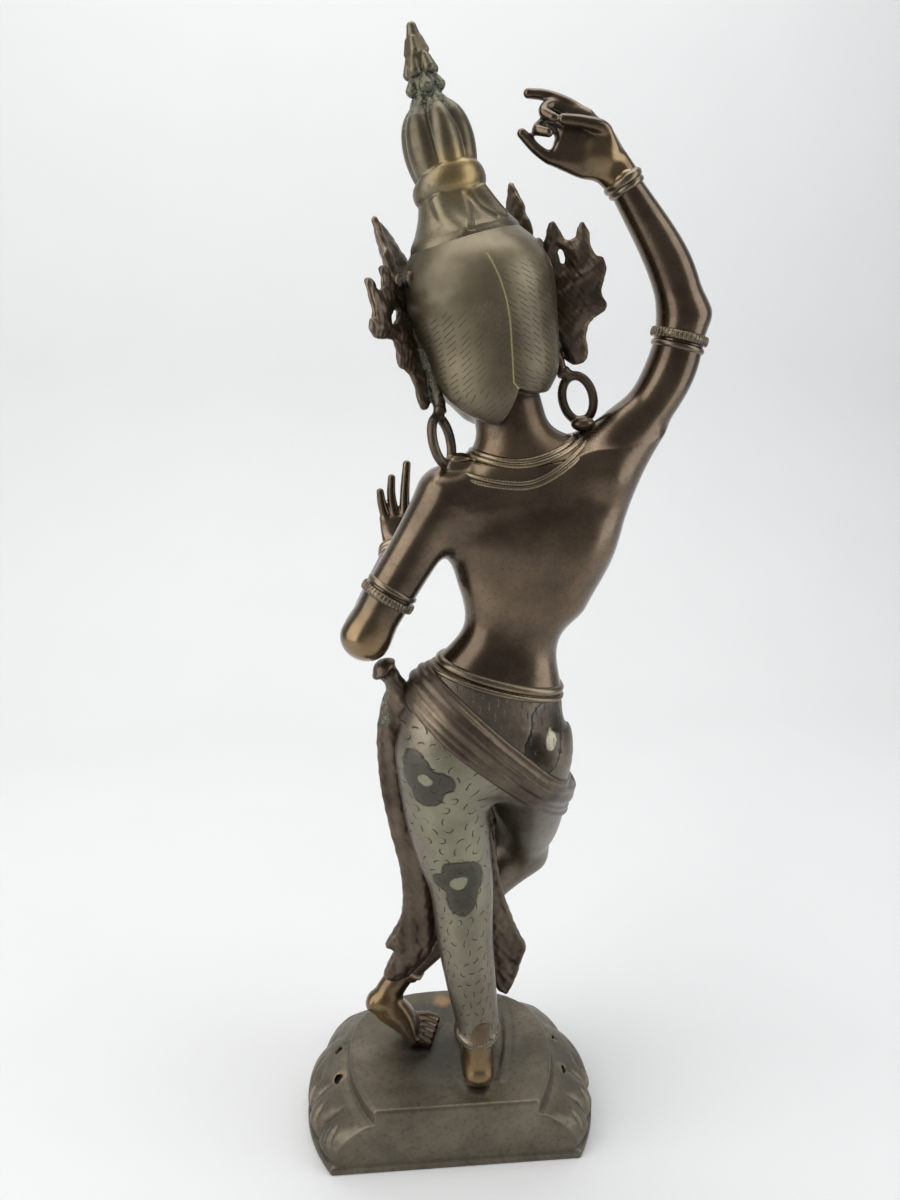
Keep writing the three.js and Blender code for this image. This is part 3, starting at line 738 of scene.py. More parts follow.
def face_form():
    skull = Stack([
        (0, -14, -31, 3.4, 3.6), (0, -12, -28.6, 7.6, 7.6), (0, -9.6, -24, 11.8, 12.2), (0, -6.8, -17, 15.6, 15.6),
        (0, -4.6, -8, 18.2, 18.2), (0, -3.5, 4, 19.2, 19.6), (0, -2.6, 14, 18.6, 19), (0, -1, 24, 13, 14),
    ])
    parts = [
        skull,
        (Limb([(0, -21.6, 2, 1.5, 1.6), (0, -23.4, -5, 1.7, 1.8), (0, -25, -12.4, 2.5, 2.1)], dome=0.8, step=1), 2.4),
        (pebble((0, -18.6, -27.6), (4.6, 3.4, 3.6)), 4),
    ]
    for s in (-1, 1):
        parts += [
            (pebble((s * 10.4, -15.6, -13), (5.6, 4.6, 6)), 5),
            (Limb([(s * 2.6, -22.4, 2.6, 1, 0.9), (s * 8, -21.4, 5, 1.1, 0.9), (s * 13.6, -17.6, 3.6, 0.7, 0.7)],
                  side=(0, 0, 1), step=1), 1.8),
            (pebble((s * 2.1, -23.4, -13.4), (1.5, 1.8, 1.3)), 1),
        ]
    form = joined(*parts)
    for s in (-1, 1):
        form = minus(form, pebble((s * 7.8, -23.2, -1.4), (5.2, 2.8, 3.6)), 3)
    more = [form]
    for s in (-1, 1):
        more += [
            (pebble((s * 7.6, -17.4, -2.8), (4.9, 3.7, 3.1)), 0.8),
            (Limb([(s * 3, -20.2, -3.4, 0.5, 0.5), (s * 7.6, -21.4, -4.3, 0.6, 0.6), (s * 12, -18.2, -3.2, 0.45, 0.45)],
                  side=(0, 0, 1), step=0.8), 0.5),
        ]
    lips = [
        (Limb([(-5, -18.7, -18.4, 0.5, 0.5), (-2, -20.9, -17.8, 1.1, 0.9), (0, -21.1, -18.2, 0.9, 0.9),
               (2, -20.9, -17.8, 1.1, 0.9), (5, -18.7, -18.4, 0.5, 0.5)], side=(0, 0, 1), step=0.8), 0.9),
        (Limb([(-4.4, -18.5, -19, 0.5, 0.5), (0, -20.5, -20.6, 1.2, 1), (4.4, -18.5, -19, 0.5, 0.5)],
              side=(0, 0, 1), step=0.8), 0.7),
    ]
    return joined(*more, *lips)


def hair_cap():
    cap = Stack([
        (4, 14, -28.5, 4, 4.4), (3, 12, -25.5, 10.2, 8), (1.6, 9, -20, 16.8, 13.4), (0.6, 6, -12.5, 20.2, 17.8),
        (0, 3.5, -4, 21.8, 21.4), (0, 2, 5, 23.8, 24.2), (0, 2, 14, 24.4, 24.6), (0, 2, 22, 21.6, 21.8),
        (0, 2, 28.5, 16.6, 16.4),
    ])
    opening = Stack([(0, -27, -40, 19, 23), (0, -27, -10, 18.6, 18), (0, -27, 2, 17.4, 15.6), (0, -27, 9, 12.6, 13)],
                    dome=0.4, reach=30)
    return minus(cap, opening, 1.2)


NAPE = [
    (28, 40), (28, -15), (23, -19), (20, -23), (17, -27.4), (12.8, -30.4), (8.8, -28.4), (5.4, -24.4),
    (2.9, -20.4), (2, -18.6), (0.4, -19.6), (-2.4, -21), (-6, -22.2), (-12, -22.6), (-26, -17), (-28, 40),
]
NAPE_LINE = soft_outline(NAPE, 3)
PARTING = [(2.9, 22.3), (1.8, 14), (1.2, 7.4), (1.3, 2), (1.7, -2.1), (2.6, -9), (3.6, -16.3), (2, -19), (2, -30)]


def hair_form():
    """The hair down to its two scalloped edges at the nape."""
    nape = chart_of(NAPE_LINE)
    return kept(hair_cap(), lambda q: nape(q[:, 0], q[:, 2]), 0.5)


def neck_in_head():
    trunk = torso()
    return lambda q: trunk(q @ HEAD[:3, :3].T + HEAD[:3, 3])


def bare_head():
    """Face, ears and neck."""
    ears = [(Limb([(s * 19.4, -3, 1, 1.2, 2.6), (s * 20.6, -2, -5, 1.4, 3), (s * 19.8, -1.5, -15, 1.4, 2)],
                  side=(1, 0, 0)), 0.8) for s in (-1, 1)]
    return joined(face_form(), *ears, (neck_in_head(), 5))


def head_form():
    return joined(hair_form(), (bare_head(), 0.6))


def topknot_form():
    cone = Stack([
        (0, 2, 24.5, 15.6, 15.4), (0, 2, 26.6, 17.4, 17), (0, 2, 28.6, 17.2, 16.6), (0, 2, 32, 15, 14.4),
        (0.4, 2, 36.5, 12.4, 12), (0.8, 2, 44, 9.8, 9.4),
    ], dome=0.2)
    folds = [(Limb([(6.8, 8.6, 40, 3.4, 2.4), (6.6, 11.6, 34, 3.2, 2.2), (4.2, 15.8, 29.4, 2, 1.4)], step=1), 1.4),
             (Limb([(-4.6, 10.4, 40, 3, 2), (-7, 12, 35, 2.6, 1.6), (-10, 12.6, 31.4, 1.6, 1)], step=1), 1.2)]
    vee = [groove([(0.2, 12.6, 40), (1.2, 15, 34.6), (3.2, 17.4, 29.6)], 0.5, 0.9),
           groove([(-0.4, 12.6, 39.6), (-2.6, 14.6, 35), (-6.4, 15.4, 31.4)], 0.45, 0.7)]
    locks = []
    for turn, wide in ((90, 4.4), (27, 5.2), (153, 5.2), (-32, 4.8), (-90, 4.8), (-148, 4.8)):
        c, s = math.cos(math.radians(turn)), math.sin(math.radians(turn))
        locks.append((Limb([
            (1.2 + 4.8 * c, 2 + 4.8 * s, 43, wide * 0.8, 3.4), (1.2 + 6.4 * c, 2 + 6.2 * s, 50, wide, 4.2),
            (1.2 + 6.9 * c, 2 + 6.5 * s, 57, wide * 0.96, 4.2), (1.2 + 6 * c, 2 + 5.6 * s, 62.4, wide * 0.72, 3.6),
            (1.1 + 3.4 * c, 2 + 3.2 * s, 66.4, wide * 0.4, 2.6),
        ], side=(-s, c, 0), dome=0.8, step=1.4), 0.7))
    turns = np.radians(np.arange(0, 360, 30))
    tie = Limb([(0.9 + 9.4 * math.cos(t), 2 + 9.3 * math.sin(t), 43.4 + 2.2 * math.sin(t),
                 3.2 + 1.1 * max(math.sin(t), 0), 2.2) for t in turns], side=(0, 0, 1), closed=True, step=1.4)
    core = Stack([(1, 2, 58, 7, 6.6), (1, 2, 66, 4.8), (1.1, 2, 74, 3.8), (1.1, 2, 82, 3), (0.8, 2, 88.4, 1.5)], dome=0.9)
    petals = []
    for z, spread, wide, tall, count, start in (
            (68.6, 3.8, 2.1, 2.6, 5, 40), (72.6, 4.1, 2.2, 2.6, 5, 76), (77.8, 3.6, 2, 3.4, 5, 40), (83, 2.2, 1.7, 3.2, 4, 60)):
        for i in range(count):
            t = math.radians(start + 360 * i / count)
            c, s = math.cos(t), math.sin(t)
            petals.append((Limb([
                (1.1 + spread * c, 2 + spread * s, z - tall * 0.45, wide), (1.05 + spread * 0.8 * c, 2 + spread * 0.8 * s, z + tall * 0.6, wide * 0.6),
            ], step=0.9, dome=0.9, reach=5), 0.35))
    body = joined(cone, *folds)
    for cut in vee:
        body = minus(body, cut, 0.6)
    return joined(body, *locks, (tie, 0.5), (core, 1.6), *petals)


LEAF = soft_outline([
    (-6.4, -2), (-6.6, 4), (-6.3, 8.6), (-5.2, 10), (-4.6, 14), (-2.8, 18), (-0.8, 21.2), (0.6, 18.4), (2.4, 15),
    (3.6, 12.4), (5.6, 9.8), (6, 6), (6.4, 2), (6, -2), (0, -3.4),
], 3)


def wing_outline(lower):
    points = [
        (-2.6, 19), (1, 19.4), (4, 21.6), (6.4, 26.2), (8.2, 26), (9.6, 22), (11, 19.8), (13.6, 20), (15.2, 22.6),
        (16.8, 24), (18.2, 21), (18, 16.4), (18.8, 13.4), (21.2, 11.8), (20.9, 7), (19.4, 4.6), (18.3, 0.6),
        (19.3, -2), (18.4, -4), (14.8, -5.4), (11.6, -8), (10.4, -12), (10.2, -16), (7.8, -18.6), (4.4, -18.4),
        (1.6, -15), (-1.6, -4),
    ]
    return soft_outline([(u if z > 5 else u * lower, z) for u, z in points], 3)


WING_HOLE = [(7.1, 17), (8, 18), (9, 17), (9.2, 14.6), (8.4, 12.8), (7.3, 13.6)]
SLOT_HOLE = [(5, 12.4), (6.4, 13.6), (9.6, 11.8), (11, 9.4), (9.8, 8.8), (7, 10.4)]


def rotation(degrees, axis):
    return Matrix.Rotation(math.radians(degrees), 4, axis)


def leaf_stances():
    for turn, tall, lean in ((-90, 1.25, 12), (-132, 1, 14), (-48, 1, 14), (-160, 1.02, 4), (-20, 1.02, 4)):
        yield tall, rotation(turn + 90, "Z") @ Matrix.Translation((0, -23.4, 20)) @ rotation(lean, "X")


def crown_form():
    around = [(22.4 * math.cos(math.radians(a)), 1 + 22.4 * math.sin(math.radians(a)), 20, 2.7, 1.9)
              for a in (-195, -160, -125, -90, -55, -20, 15)]
    parts = [Limb(around, side=(0, 0, 1))]
    for tall, stance in leaf_stances():
        shape = slab(LEAF * (1, tall), 1.0, edge=0.7, swell=0.8, swell_over=4)
        parts.append((moved(shape, stance), 0.6))
    for s, lower, hole in ((-1, 1.0, WING_HOLE), (1, 0.62, SLOT_HOLE)):
        outline = wing_outline(lower) * (s, 1)
        cut = np.array(hole) * (s, 1)
        boss = slab(outline, 0.75, edge=0.65, swell=1.1, holes=[cut], swell_over=4.5, relief=wing_relief(s))
        stance = Matrix.Translation((s * 23.2, 0, 0)) @ rotation(s * 40, "Z")
        parts.append((moved(boss, stance), 0.5))
        parts.append((Limb([(s * 20, -1, 18, 2.4, 3.8), (s * 22.2, 0, 4, 2.4, 3.8), (s * 21.4, 1, -10, 2.2, 3.2),
                            (s * 22, 3.6, -20.5, 1.9, 2.2)], side=(s, 0, 0)), 1.4))
    return dented(joined(*parts), 0.13, 5.0)


def wing_relief(s):
    """Shallow ribs that run out from the wing's root into its teeth."""
    tips = [(7.4, 26), (16.6, 24), (21, 10), (19, -2.4), (6, -18)]

    def relief(p, across):
        total = np.zeros(len(p))
        for u, z in tips:
            ax, az = 1.0, 2.0 + 0.3 * z
            ex, ez = u - ax, z - az
            wx, wz = p[:, 0] * s - ax, p[:, 2] - az
            t = np.clip((wx * ex + wz * ez) / (ex * ex + ez * ez), 0, 1)
            gap = np.hypot(wx - t * ex, wz - t * ez)
            total = np.maximum(total, 0.45 * np.exp(-((gap / 1.5) ** 2)) * np.clip(t * 3, 0, 1))
        return total
    return relief


def hoop_form(s):
    turns = np.radians(np.arange(0, 360, 24))
    ring = Limb([(s * (24.6 + 5.1 * 0.77 * math.cos(t)), 5 + 5.1 * 0.64 * math.cos(t), -29.2 + 7.5 * math.sin(t), 1.6, 1.5)
                 for t in turns], side=(-0.64 * s, 0.77, 0), closed=True, step=1.2, reach=6)
    stem = Limb([(s * 22.4, 4, -19.5, 1.9, 2), (s * 23.6, 4.6, -21.6, 1.7)], step=1)
    foot = pebble((s * 24.4, 5, -36.6), (1.8, 1.8, 1.5))
    return joined(ring, (stem, 1), (foot, 0.8))


# Cloth

def scarf_form():
    edge = soft_outline([
        (18.4, 178), (22.4, 172.6), (23.8, 168), (25.4, 158), (25.2, 146), (24.3, 136), (22.2, 124), (20.4, 115),
        (18.3, 106), (17.5, 98), (17.3, 90), (18.6, 83), (21.4, 77.6), (24, 72.4), (21.6, 71.2), (20.8, 69.6), (22.6, 66),
        (24.8, 59.6), (22, 57.8), (17, 58.6), (12, 63), (7, 69), (3, 80), (4, 100), (8, 124), (12, 150), (13, 170),
    ], 3)
    fall = moved(slab(edge, 2.2, edge=1.5, swell=1.6, swell_over=6, relief=fall_relief), Matrix.Translation((0, 3.5, 0)))
    knot = Limb([(15.5, 5, 170, 4.8), (18.6, 5, 176, 3.4), (20.6, 5, 179.6, 3.2), (22.6, 5, 182, 4.3)], dome=0.75)
    lip = ringed((22.6, 5, 181.9), (0.62, 0, 0.78), (3.9, 3.9), 0.9, 0.9, side=(0, 1, 0))
    tail_edge = soft_outline([
        (-12, 128), (-17, 112), (-18.6, 100), (-20.6, 89.6), (-23.6, 80), (-27, 71), (-30, 64.8), (-29.2, 61.6),
        (-27.6, 56), (-26.4, 51.6), (-24.6, 47), (-22.7, 43.8), (-20.6, 44.6), (-18.7, 46.6), (-16, 56), (-12, 90), (-9, 128),
    ], 3)
    tail = moved(slab(tail_edge, 1.3, edge=0.9, swell=0.9, relief=tail_relief), Matrix.Translation((0, -3, 0)))
    front = Limb([(-14, -12, 150, 6, 4), (-16, -16, 130, 5, 3), (-15.6, -19, 108, 6.4, 2.6),
                  (-17.6, -18, 93, 6.6, 2.2), (-19.6, -16, 80, 4.6, 1.8)])
    pleats = [(Limb([(-14 + dx, -16, 148, 0.9, 1), (-16 + dx, -19, 130, 0.9, 0.9), (-15 + 1.3 * dx, -21.4, 109, 0.9, 0.8)]), 0.8)
              for dx in (-3.4, 0, 3.4)]
    return dented(joined(fall, (knot, 2), (lip, 0.8), (tail, 1), (front, 1), *pleats), 0.14, 6.0)


def fall_relief(p, across):
    run = np.sin((p[:, 0] - 0.09 * p[:, 2]) * 1.15) * 0.28
    return run * np.clip(-across / 3, 0, 1)


def tail_relief(p, across):
    rim = 0.5 * np.exp(-((across + 1.3) / 0.9) ** 2)
    pit = -0.7 * np.exp(-(((p[:, 0] + 24.2) / 1.6) ** 2 + ((p[:, 2] - 58) / 2.4) ** 2))
    return rim + pit


def sash_form(body):
    """A band round the hips with soft ridges, drawn along loops that lie on the body."""
    slope = unit((-0.66, 0.0, 0.75))
    rows = ((0.2, -0.6, 5.6, 1.7, 0), (-5, 0.1, 1.4, 1.4, 1.6), (-2.4, 0.35, 1.1, 1.3, 1.4), (1.0, 1.0, 1.7, 1.5, 1.8),
            (4.6, 0.5, 1.3, 1.5, 1.6), (7.0, -0.2, 1.2, 1.2, 1.4))
    parts = []
    for off, lift, wide, thick, fillet in rows:
        centre = np.array((-15, 5.4, 153.6)) + off * slope
        loop = hugging(body, centre, slope, (0, 1, 0), count=48, lift=lift)
        parts.append((Limb([(*q, wide, thick) for q in loop], side=tuple(slope), closed=True, step=1.6, reach=8), fillet))
    return joined(*parts)


# The lotus base

PLATE_HALF, PLATE_FRONT, WIDEST, NARROWING, FLANK, FULLNESS = 38.0, 34.0, 4.0, 9.5, 0.27, 0.78
PETALS = 9
GIRTH = 190.0
BASE_PROFILE = [
    (-60, 0), (16.6, 0), (17, 0.5), (17, 2.4), (16.5, 3), (15, 3.5), (14.9, 6.2), (13.6, 9.4), (11.3, 12.6),
    (8.8, 15.2), (6.4, 17.2), (4.6, 18.8), (3.4, 19.3), (1.2, 19.6), (0.6, 20.4), (0.4, 25.2), (-0.3, 26), (-60, 26),
]
HOLLOW_PROFILE = [(-60, -4), (13, -4), (13, 1), (11, 6), (6, 13), (-1, 18), (-4, 22.4), (-60, 22.4)]
BULGE = ([0, 3.2, 4, 7, 12, 16, 18.4, 19.2], [0, 0, 1.0, 2.4, 2.8, 2.2, 0.5, 0])
SLOTS = [((42.2, -7.4, 17.4), (2.2, 2.4, 1.0)), ((41.8, 7.6, 17.2), (2.6, 2.8, 1.7)), ((41, 7.4, 14), (1.6, 2, 4.6)),
         ((-42, 9.8, 17.2), (2.2, 3, 1.0)), ((-41.4, -6.8, 17.4), (2, 2.8, 1.0))]


def base_place(p):
    """How far out each place lies from the plate's edge, and how far round, from 0 to 1."""
    x, y = np.abs(p[:, 0]), p[:, 1]
    back = np.clip((y - WIDEST) / (BASE_BACK - WIDEST), 0, 1)
    flank = x - PLATE_HALF + NARROWING * back * back
    deep = np.maximum(WIDEST - y, 0)
    power = 2 / FULLNESS
    spread = np.maximum(flank, 0.0) + 2.0
    for _ in range(7):
        half = np.maximum(PLATE_HALF + spread, 2)
        front = np.maximum(PLATE_FRONT + spread, 2)
        a, b = (x / half) ** power, (deep / front) ** power
        rate = -power * (a / half + b / front)
        spread = np.clip(spread - (a + b - 1) / np.minimum(rate, -1e-4), -32, 90)
    out = np.where(y > WIDEST, flank, spread)
    c = np.sign(p[:, 0]) * (x / (PLATE_HALF + np.maximum(spread, -20))) ** (1 / FULLNESS)
    s = (deep / (PLATE_FRONT + np.maximum(spread, -20))) ** (1 / FULLNESS)
    turn = np.arctan2(s, c) / math.pi
    side = FLANK * (1 - back)
    t = np.where(y > WIDEST, np.where(p[:, 0] > 0, side, 1 - side), FLANK + turn * (1 - 2 * FLANK))
    return out, t


def petal_swell(t, z):
    """Swelling lobes with slanted furrows, the same on both flanks."""
    from_back = np.minimum(t, 1 - t)
    wave = np.abs(np.sin(math.pi * PETALS * t)) ** 0.7 * np.clip(from_back / 0.03, 0, 1)
    fold = (from_back * PETALS) % 1.0
    cut = np.zeros(len(t))
    for place, tilt, depth, wide in ((0.3, 0.34, 1.0, 0.7), (0.52, 0.34, 0.8, 0.6), (0.41, 0.34, -0.5, 0.7), (0.95, 0.2, 0.7, 1.0)):
        gap = fold - place - tilt * (z - 10.5) / 8
        gap = (gap + 0.5) % 1.0 - 0.5
        cut += depth * np.exp(-((gap * GIRTH / PETALS / wide) ** 2))
    window = np.clip((z - 5) / 2, 0, 1) * np.clip((16.2 - z) / 3, 0, 1) * np.clip((from_back - 0.02) / 0.03, 0, 1)
    return np.interp(z, *BULGE) * wave - cut * window


def base_form():
    places = [Chart(lambda x, y, k=k: base_place(np.stack([x, y, y], 1))[k], (-64, -56), (64, 44), 0.4) for k in (0, 1)]
    profile, hollow = (Chart(lambda u, z, o=o: outline_gap(u, z, o), (-20, -6), (24, 34), 0.2)
                       for o in (BASE_PROFILE, HOLLOW_PROFILE))
    ridge = Limb([(-23.6, -23.2, 25.6, 1.6, 1), (-24.2, -8, 25.8, 1.8, 1.1), (-21.5, 10.4, 25.8, 1.8, 1.1),
                  (-16.7, 22.9, 25.6, 1.4, 0.9)], side=(1, 0, 0), reach=6)
    mounds = [(pebble((-8.6, 14, 25.4), (7.6, 15, 1.8)), 1.6), (pebble((13, -2.4, 25.2), (10, 8, 1.6)), 1.6)]

    def exact(p):
        out, t = (chart(p[:, 0], p[:, 1]) for chart in places)
        swollen = out - petal_swell(t, p[:, 2])
        body = profile(np.maximum(swollen, -20), p[:, 2])
        back = p[:, 1] - np.interp(p[:, 2], [0, 2.8, 3.6, 24.6, 26], [BASE_BACK, BASE_BACK, 34.2, 34.2, 33.6])
        body = -melt(-body, -back, 0.7)
        return body

    forms = [exact, (ridge, 1.4), *mounds]
    whole = joined(*forms)
    for place, radii in SLOTS:
        whole = minus(whole, pebble(place, radii), 0.5)

    def room(p):
        out = np.maximum(places[0](p[:, 0], p[:, 1]), -20)
        return np.maximum(hollow(out, p[:, 2]), p[:, 1] - BASE_BACK + 4)

    return minus(whole, room)


# Finish: shader maths on sockets, then one bronze with its own colours for each part

class Wire:
    """A socket whose arithmetic adds Math nodes."""

    def __init__(self, shade, socket):
        self.shade = shade
        self.socket = socket

    def maths(self, operation, *others, **settings):
        inputs = dict(enumerate((self, *others)))
        return self.shade.add("ShaderNodeMath", {"operation": operation, **settings}, inputs)

    def __add__(self, other):
        return self.maths("ADD", other)

    __radd__ = __add__

    def __sub__(self, other):
        return self.maths("SUBTRACT", other)

    def __rsub__(self, other):
        return self.shade.add("ShaderNodeMath", {"operation": "SUBTRACT"}, {0: other, 1: self})

    def __mul__(self, other):
        return self.maths("MULTIPLY", other)

    __rmul__ = __mul__

    def __truediv__(self, other):
        return self.maths("DIVIDE", other)

    def __pow__(self, other):
        return self.maths("POWER", other)

    def clipped(self):
        return self.maths("ADD", 0.0, use_clamp=True)

    def between(self, low, high):
        """0 at or below low, 1 at or above high, straight in between."""
        return self.shade.add("ShaderNodeMapRange", {"clamp": True}, {
            "Value": self, "From Min": low, "From Max": high, "To Min": 0.0, "To Max": 1.0,
        })


class Shade:
    """A material's tree, with one method that adds any node."""

    def __init__(self, name):
        self.material = bpy.data.materials.new(name)
        self.material.use_nodes = True
        self.tree = self.material.node_tree
        self.tree.nodes.clear()

    def node(self, kind, settings=None, inputs=None):
        made = self.tree.nodes.new(kind)
        for key, value in (settings or {}).items():
            if key == "stops":
                ramp = made.color_ramp
                ramp.elements[0].position, ramp.elements[-1].position = value[0][0], value[-1][0]
                for place, _ in value[1:-1]:
                    ramp.elements.new(place)
                for element, (_, colour) in zip(ramp.elements, value):
                    element.color = (*colour, 1)
            else:
                setattr(made, key, value)
        for key, value in (inputs or {}).items():
            self.plug(made.inputs[key], value)
        return made

    def plug(self, socket, value):
        if isinstance(value, Wire):
            self.tree.links.new(value.socket, socket)
        elif socket.type == "RGBA" and len(value) == 3:
            socket.default_value = (*value, 1)
        else:
            socket.default_value = value

    def add(self, kind, settings=None, inputs=None, output=0):
        return Wire(self, self.node(kind, settings, inputs).outputs[output])

    def mark(self, name):
        return self.add("ShaderNodeAttribute", {"attribute_name": name}, output="Fac")

    def place(self, scale=1000.0):
        """Object places in millimetres."""
        at = self.add("ShaderNodeTexCoord", output="Object")
        return self.add("ShaderNodeVectorMath", {"operation": "SCALE"}, {0: at, "Scale": scale})

    def noise(self, where, scale, detail=3.0, rough=0.55, stretch=None):
        if stretch is not None:
            where = self.add("ShaderNodeVectorMath", {"operation": "MULTIPLY"}, {0: where, 1: stretch})
        return self.add("ShaderNodeTexNoise", {}, {
            "Vector": where, "Scale": scale, "Detail": detail, "Roughness": rough,
        })

    def blend(self, mask, first, second, mode="MIX"):
        made = self.node("ShaderNodeMix", {"data_type": "RGBA", "blend_type": mode, "clamp_factor": True})
        for index, value in ((0, mask), (6, first), (7, second)):
            self.plug(made.inputs[index], value)
        return Wire(self, made.outputs[2])

    def finish(self, colour, roughness, metallic, height, coat=0.25, lift=0.00025):
        bump = self.add("ShaderNodeBump", {}, {"Strength": 0.6, "Distance": lift, "Height": height})
        body = self.node("ShaderNodeBsdfPrincipled", {}, {
            "Base Color": colour, "Roughness": roughness, "Metallic": metallic, "Normal": bump,
            "Coat Weight": coat, "Coat Roughness": 0.2,
        })
        out = self.node("ShaderNodeOutputMaterial")
        self.tree.links.new(body.outputs["BSDF"], out.inputs["Surface"])
        return self.material


def bronze(name, dark, light, worn, crease, roughness=0.3, coat=0.3, grain=1.0, wear=0.6, soot_and_shade=0.8,
           tint=None, pattern=None):
    """Cast bronze: mottled patina, dark or green creases whose darkening is partly dark patina and partly painted
    shade, rubbed bright edges and a fine cast grain.
    """
    shade = Shade(name)
    at = shade.place()
    cloud = shade.noise(at, 0.045, 4.0, 0.6).between(0.34, 0.68)
    fleck = shade.noise(at, 0.6, 3.0, 0.65)
    fine = shade.noise(at, 3.2, 2.0, 0.6)
    colour = shade.blend(cloud, dark, light)
    colour = shade.blend(fleck.between(0.52, 0.75) * 0.35, colour, crease)
    # Hollows darkened towards the crease colour: partly dark patina and dirt, partly painted shade standing in for
    # occlusion
    hollow = (shade.mark("crease") * (0.55 + fleck) * soot_and_shade).between(0.12, 0.95)
    colour = shade.blend(hollow, colour, crease)
    rub = (shade.mark("edge") * (0.5 + cloud) * wear).between(0.18, 0.8)
    colour = shade.blend(rub, colour, worn)
    rough = roughness + fleck * 0.1 + hollow * 0.25 - rub * 0.08 + fine * 0.05
    metallic = 1.0 - hollow * 0.5
    height = fleck * (0.5 * grain) + fine * (0.35 * grain)
    if tint is not None:
        colour, rough, metallic, height = tint(shade, at, colour, rough, metallic, height)
    if pattern is not None:
        colour, rough, height = pattern(shade, at, colour, rough, height)
    return shade.finish(colour, rough.clipped(), metallic.clipped(), height, coat)


def spot(shade, at, centre, radius, soft=0.5, squash=(1, 1, 1)):
    """1 inside a soft-edged ball round a place, 0 outside."""
    moved_to = (Vector(centre) + Vector(SHIFT))
    off = shade.add("ShaderNodeVectorMath", {"operation": "SUBTRACT"}, {0: at, 1: tuple(moved_to)})
    off = shade.add("ShaderNodeVectorMath", {"operation": "MULTIPLY"}, {0: off, 1: squash})
    far = shade.add("ShaderNodeVectorMath", {"operation": "LENGTH"}, {0: off}, output="Value")
    ragged = far + (shade.noise(at, 0.5, 3.0) - 0.5) * (radius * soft)
    return 1.0 - ragged.between(radius * (1 - soft * 0.5), radius * (1 + soft * 0.5))


def verdigris(shade, at, colour, rough, metallic, height, spots, green=(0.28, 0.4, 0.3), amount=0.7):
    """Pale green corrosion in grains inside the given spots."""
    grain = shade.noise(at, 1.4, 4.0, 0.7).between(0.5, 0.62)
    total = None
    for centre, radius in spots:
        one = spot(shade, at, centre, radius)
        total = one if total is None else total.maths("MAXIMUM", one)
    mask = total * grain * amount
    return (shade.blend(mask, colour, green), rough + mask * 0.35, metallic - mask, height + mask * 0.6)


def golden(shade, at, colour, rough, spots, gold, amount=0.85):
    for centre, radius in spots:
        mask = spot(shade, at, centre, radius, soft=1.1) * amount
        colour = shade.blend(mask, colour, gold)
        rough = rough - mask * 0.06
    return colour, rough


def hair_pattern(shade, colour, rough, height, inside):
    """Short slanted engraved strokes in staggered lanes on both sides of a fine parting line."""
    strand, lane = shade.mark("strand"), shade.mark("lane")
    lanes = lane.maths("ABSOLUTE") / 3.7
    number = lanes.maths("FLOOR")
    along = lanes.maths("FRACT")
    rows = (strand + number * 0.83) / 1.9
    near = (rows.maths("FRACT") - 0.5).maths("ABSOLUTE")
    line = 1.0 - near.between(0.03, 0.075)
    pick = shade.add("ShaderNodeTexWhiteNoise", {"noise_dimensions": "2D"}, {
        "Vector": shade.add("ShaderNodeCombineXYZ", {}, {"X": number, "Y": rows.maths("FLOOR")}),
    })
    ends = along.between(0.08, 0.16) * (1.0 - (along + pick * 0.15).between(0.8, 0.9)) * pick.between(0.08, 0.12)
    tall = shade.mark("tall")
    upper = 1.0 - (tall + (1.0 - lane.between(-1.0, 1.0)) * -9.0).between(7.0, 9.0)
    mask = line * ends * inside * upper
    colour = shade.blend(mask * 0.75, colour, (0.028, 0.023, 0.016))
    parting = (1.0 - lane.maths("ABSOLUTE").between(0.14, 0.3)) * inside * (1.0 - tall.between(21.0, 22.5))
    colour = shade.blend(parting * 0.8, colour, (0.4, 0.33, 0.17))
    return colour, rough + mask * 0.1, height - mask * 1.4 - parting * 0.8


def leg_pattern(shade, colour, rough, height):
    """Short curved and straight punch marks, turned every way, and rows of ticks on the hip."""
    down, lane = shade.mark("down"), shade.mark("round")
    rows = down / 4.1
    number = rows.maths("FLOOR")
    across = lane / 3.7 + number * 0.5
    u = across.maths("FRACT") - 0.5
    v = rows.maths("FRACT") - 0.5
    cell = shade.add("ShaderNodeCombineXYZ", {}, {"X": number, "Y": across.maths("FLOOR")})
    pick = shade.node("ShaderNodeTexWhiteNoise", {"noise_dimensions": "2D"}, {"Vector": cell})
    chance, hues = Wire(shade, pick.outputs["Value"]), Wire(shade, pick.outputs["Color"])
    parts = shade.node("ShaderNodeSeparateColor", {}, {"Color": hues})
    angle = Wire(shade, parts.outputs["Red"]) * 6.283
    bend = Wire(shade, parts.outputs["Green"]).between(0.2, 1.0) * 0.5 + 0.3
    c, s = angle.maths("COSINE"), angle.maths("SINE")
    a, b = u * c + v * s, v * c - u * s
    reach = (a * a + (b + bend) * (b + bend)).maths("SQRT")
    line = 1.0 - (reach - bend).maths("ABSOLUTE").between(0.025, 0.065)
    arc = line * (1.0 - a.maths("ABSOLUTE").between(0.22, 0.32)) * b.between(-0.42, -0.32) * chance.between(0.1, 0.16)
    tick = (1.0 - ((lane / 3.1 + number * 0.37).maths("FRACT") - 0.5).maths("ABSOLUTE").between(0.03, 0.07))
    tick = tick * (1.0 - v.maths("ABSOLUTE").between(0.22, 0.3)) * chance.between(0.1, 0.2)
    hip = shade.mark("hip")
    mask = arc * (1.0 - hip) * shade.mark("punched").between(0.3, 0.7) + tick * hip
    return shade.blend(mask * 0.8, colour, (0.02, 0.018, 0.013)), rough + mask * 0.1, height - mask * 1.2


# Rings of wire, beads and ticks, drawn along loops by one Geometry Nodes tree

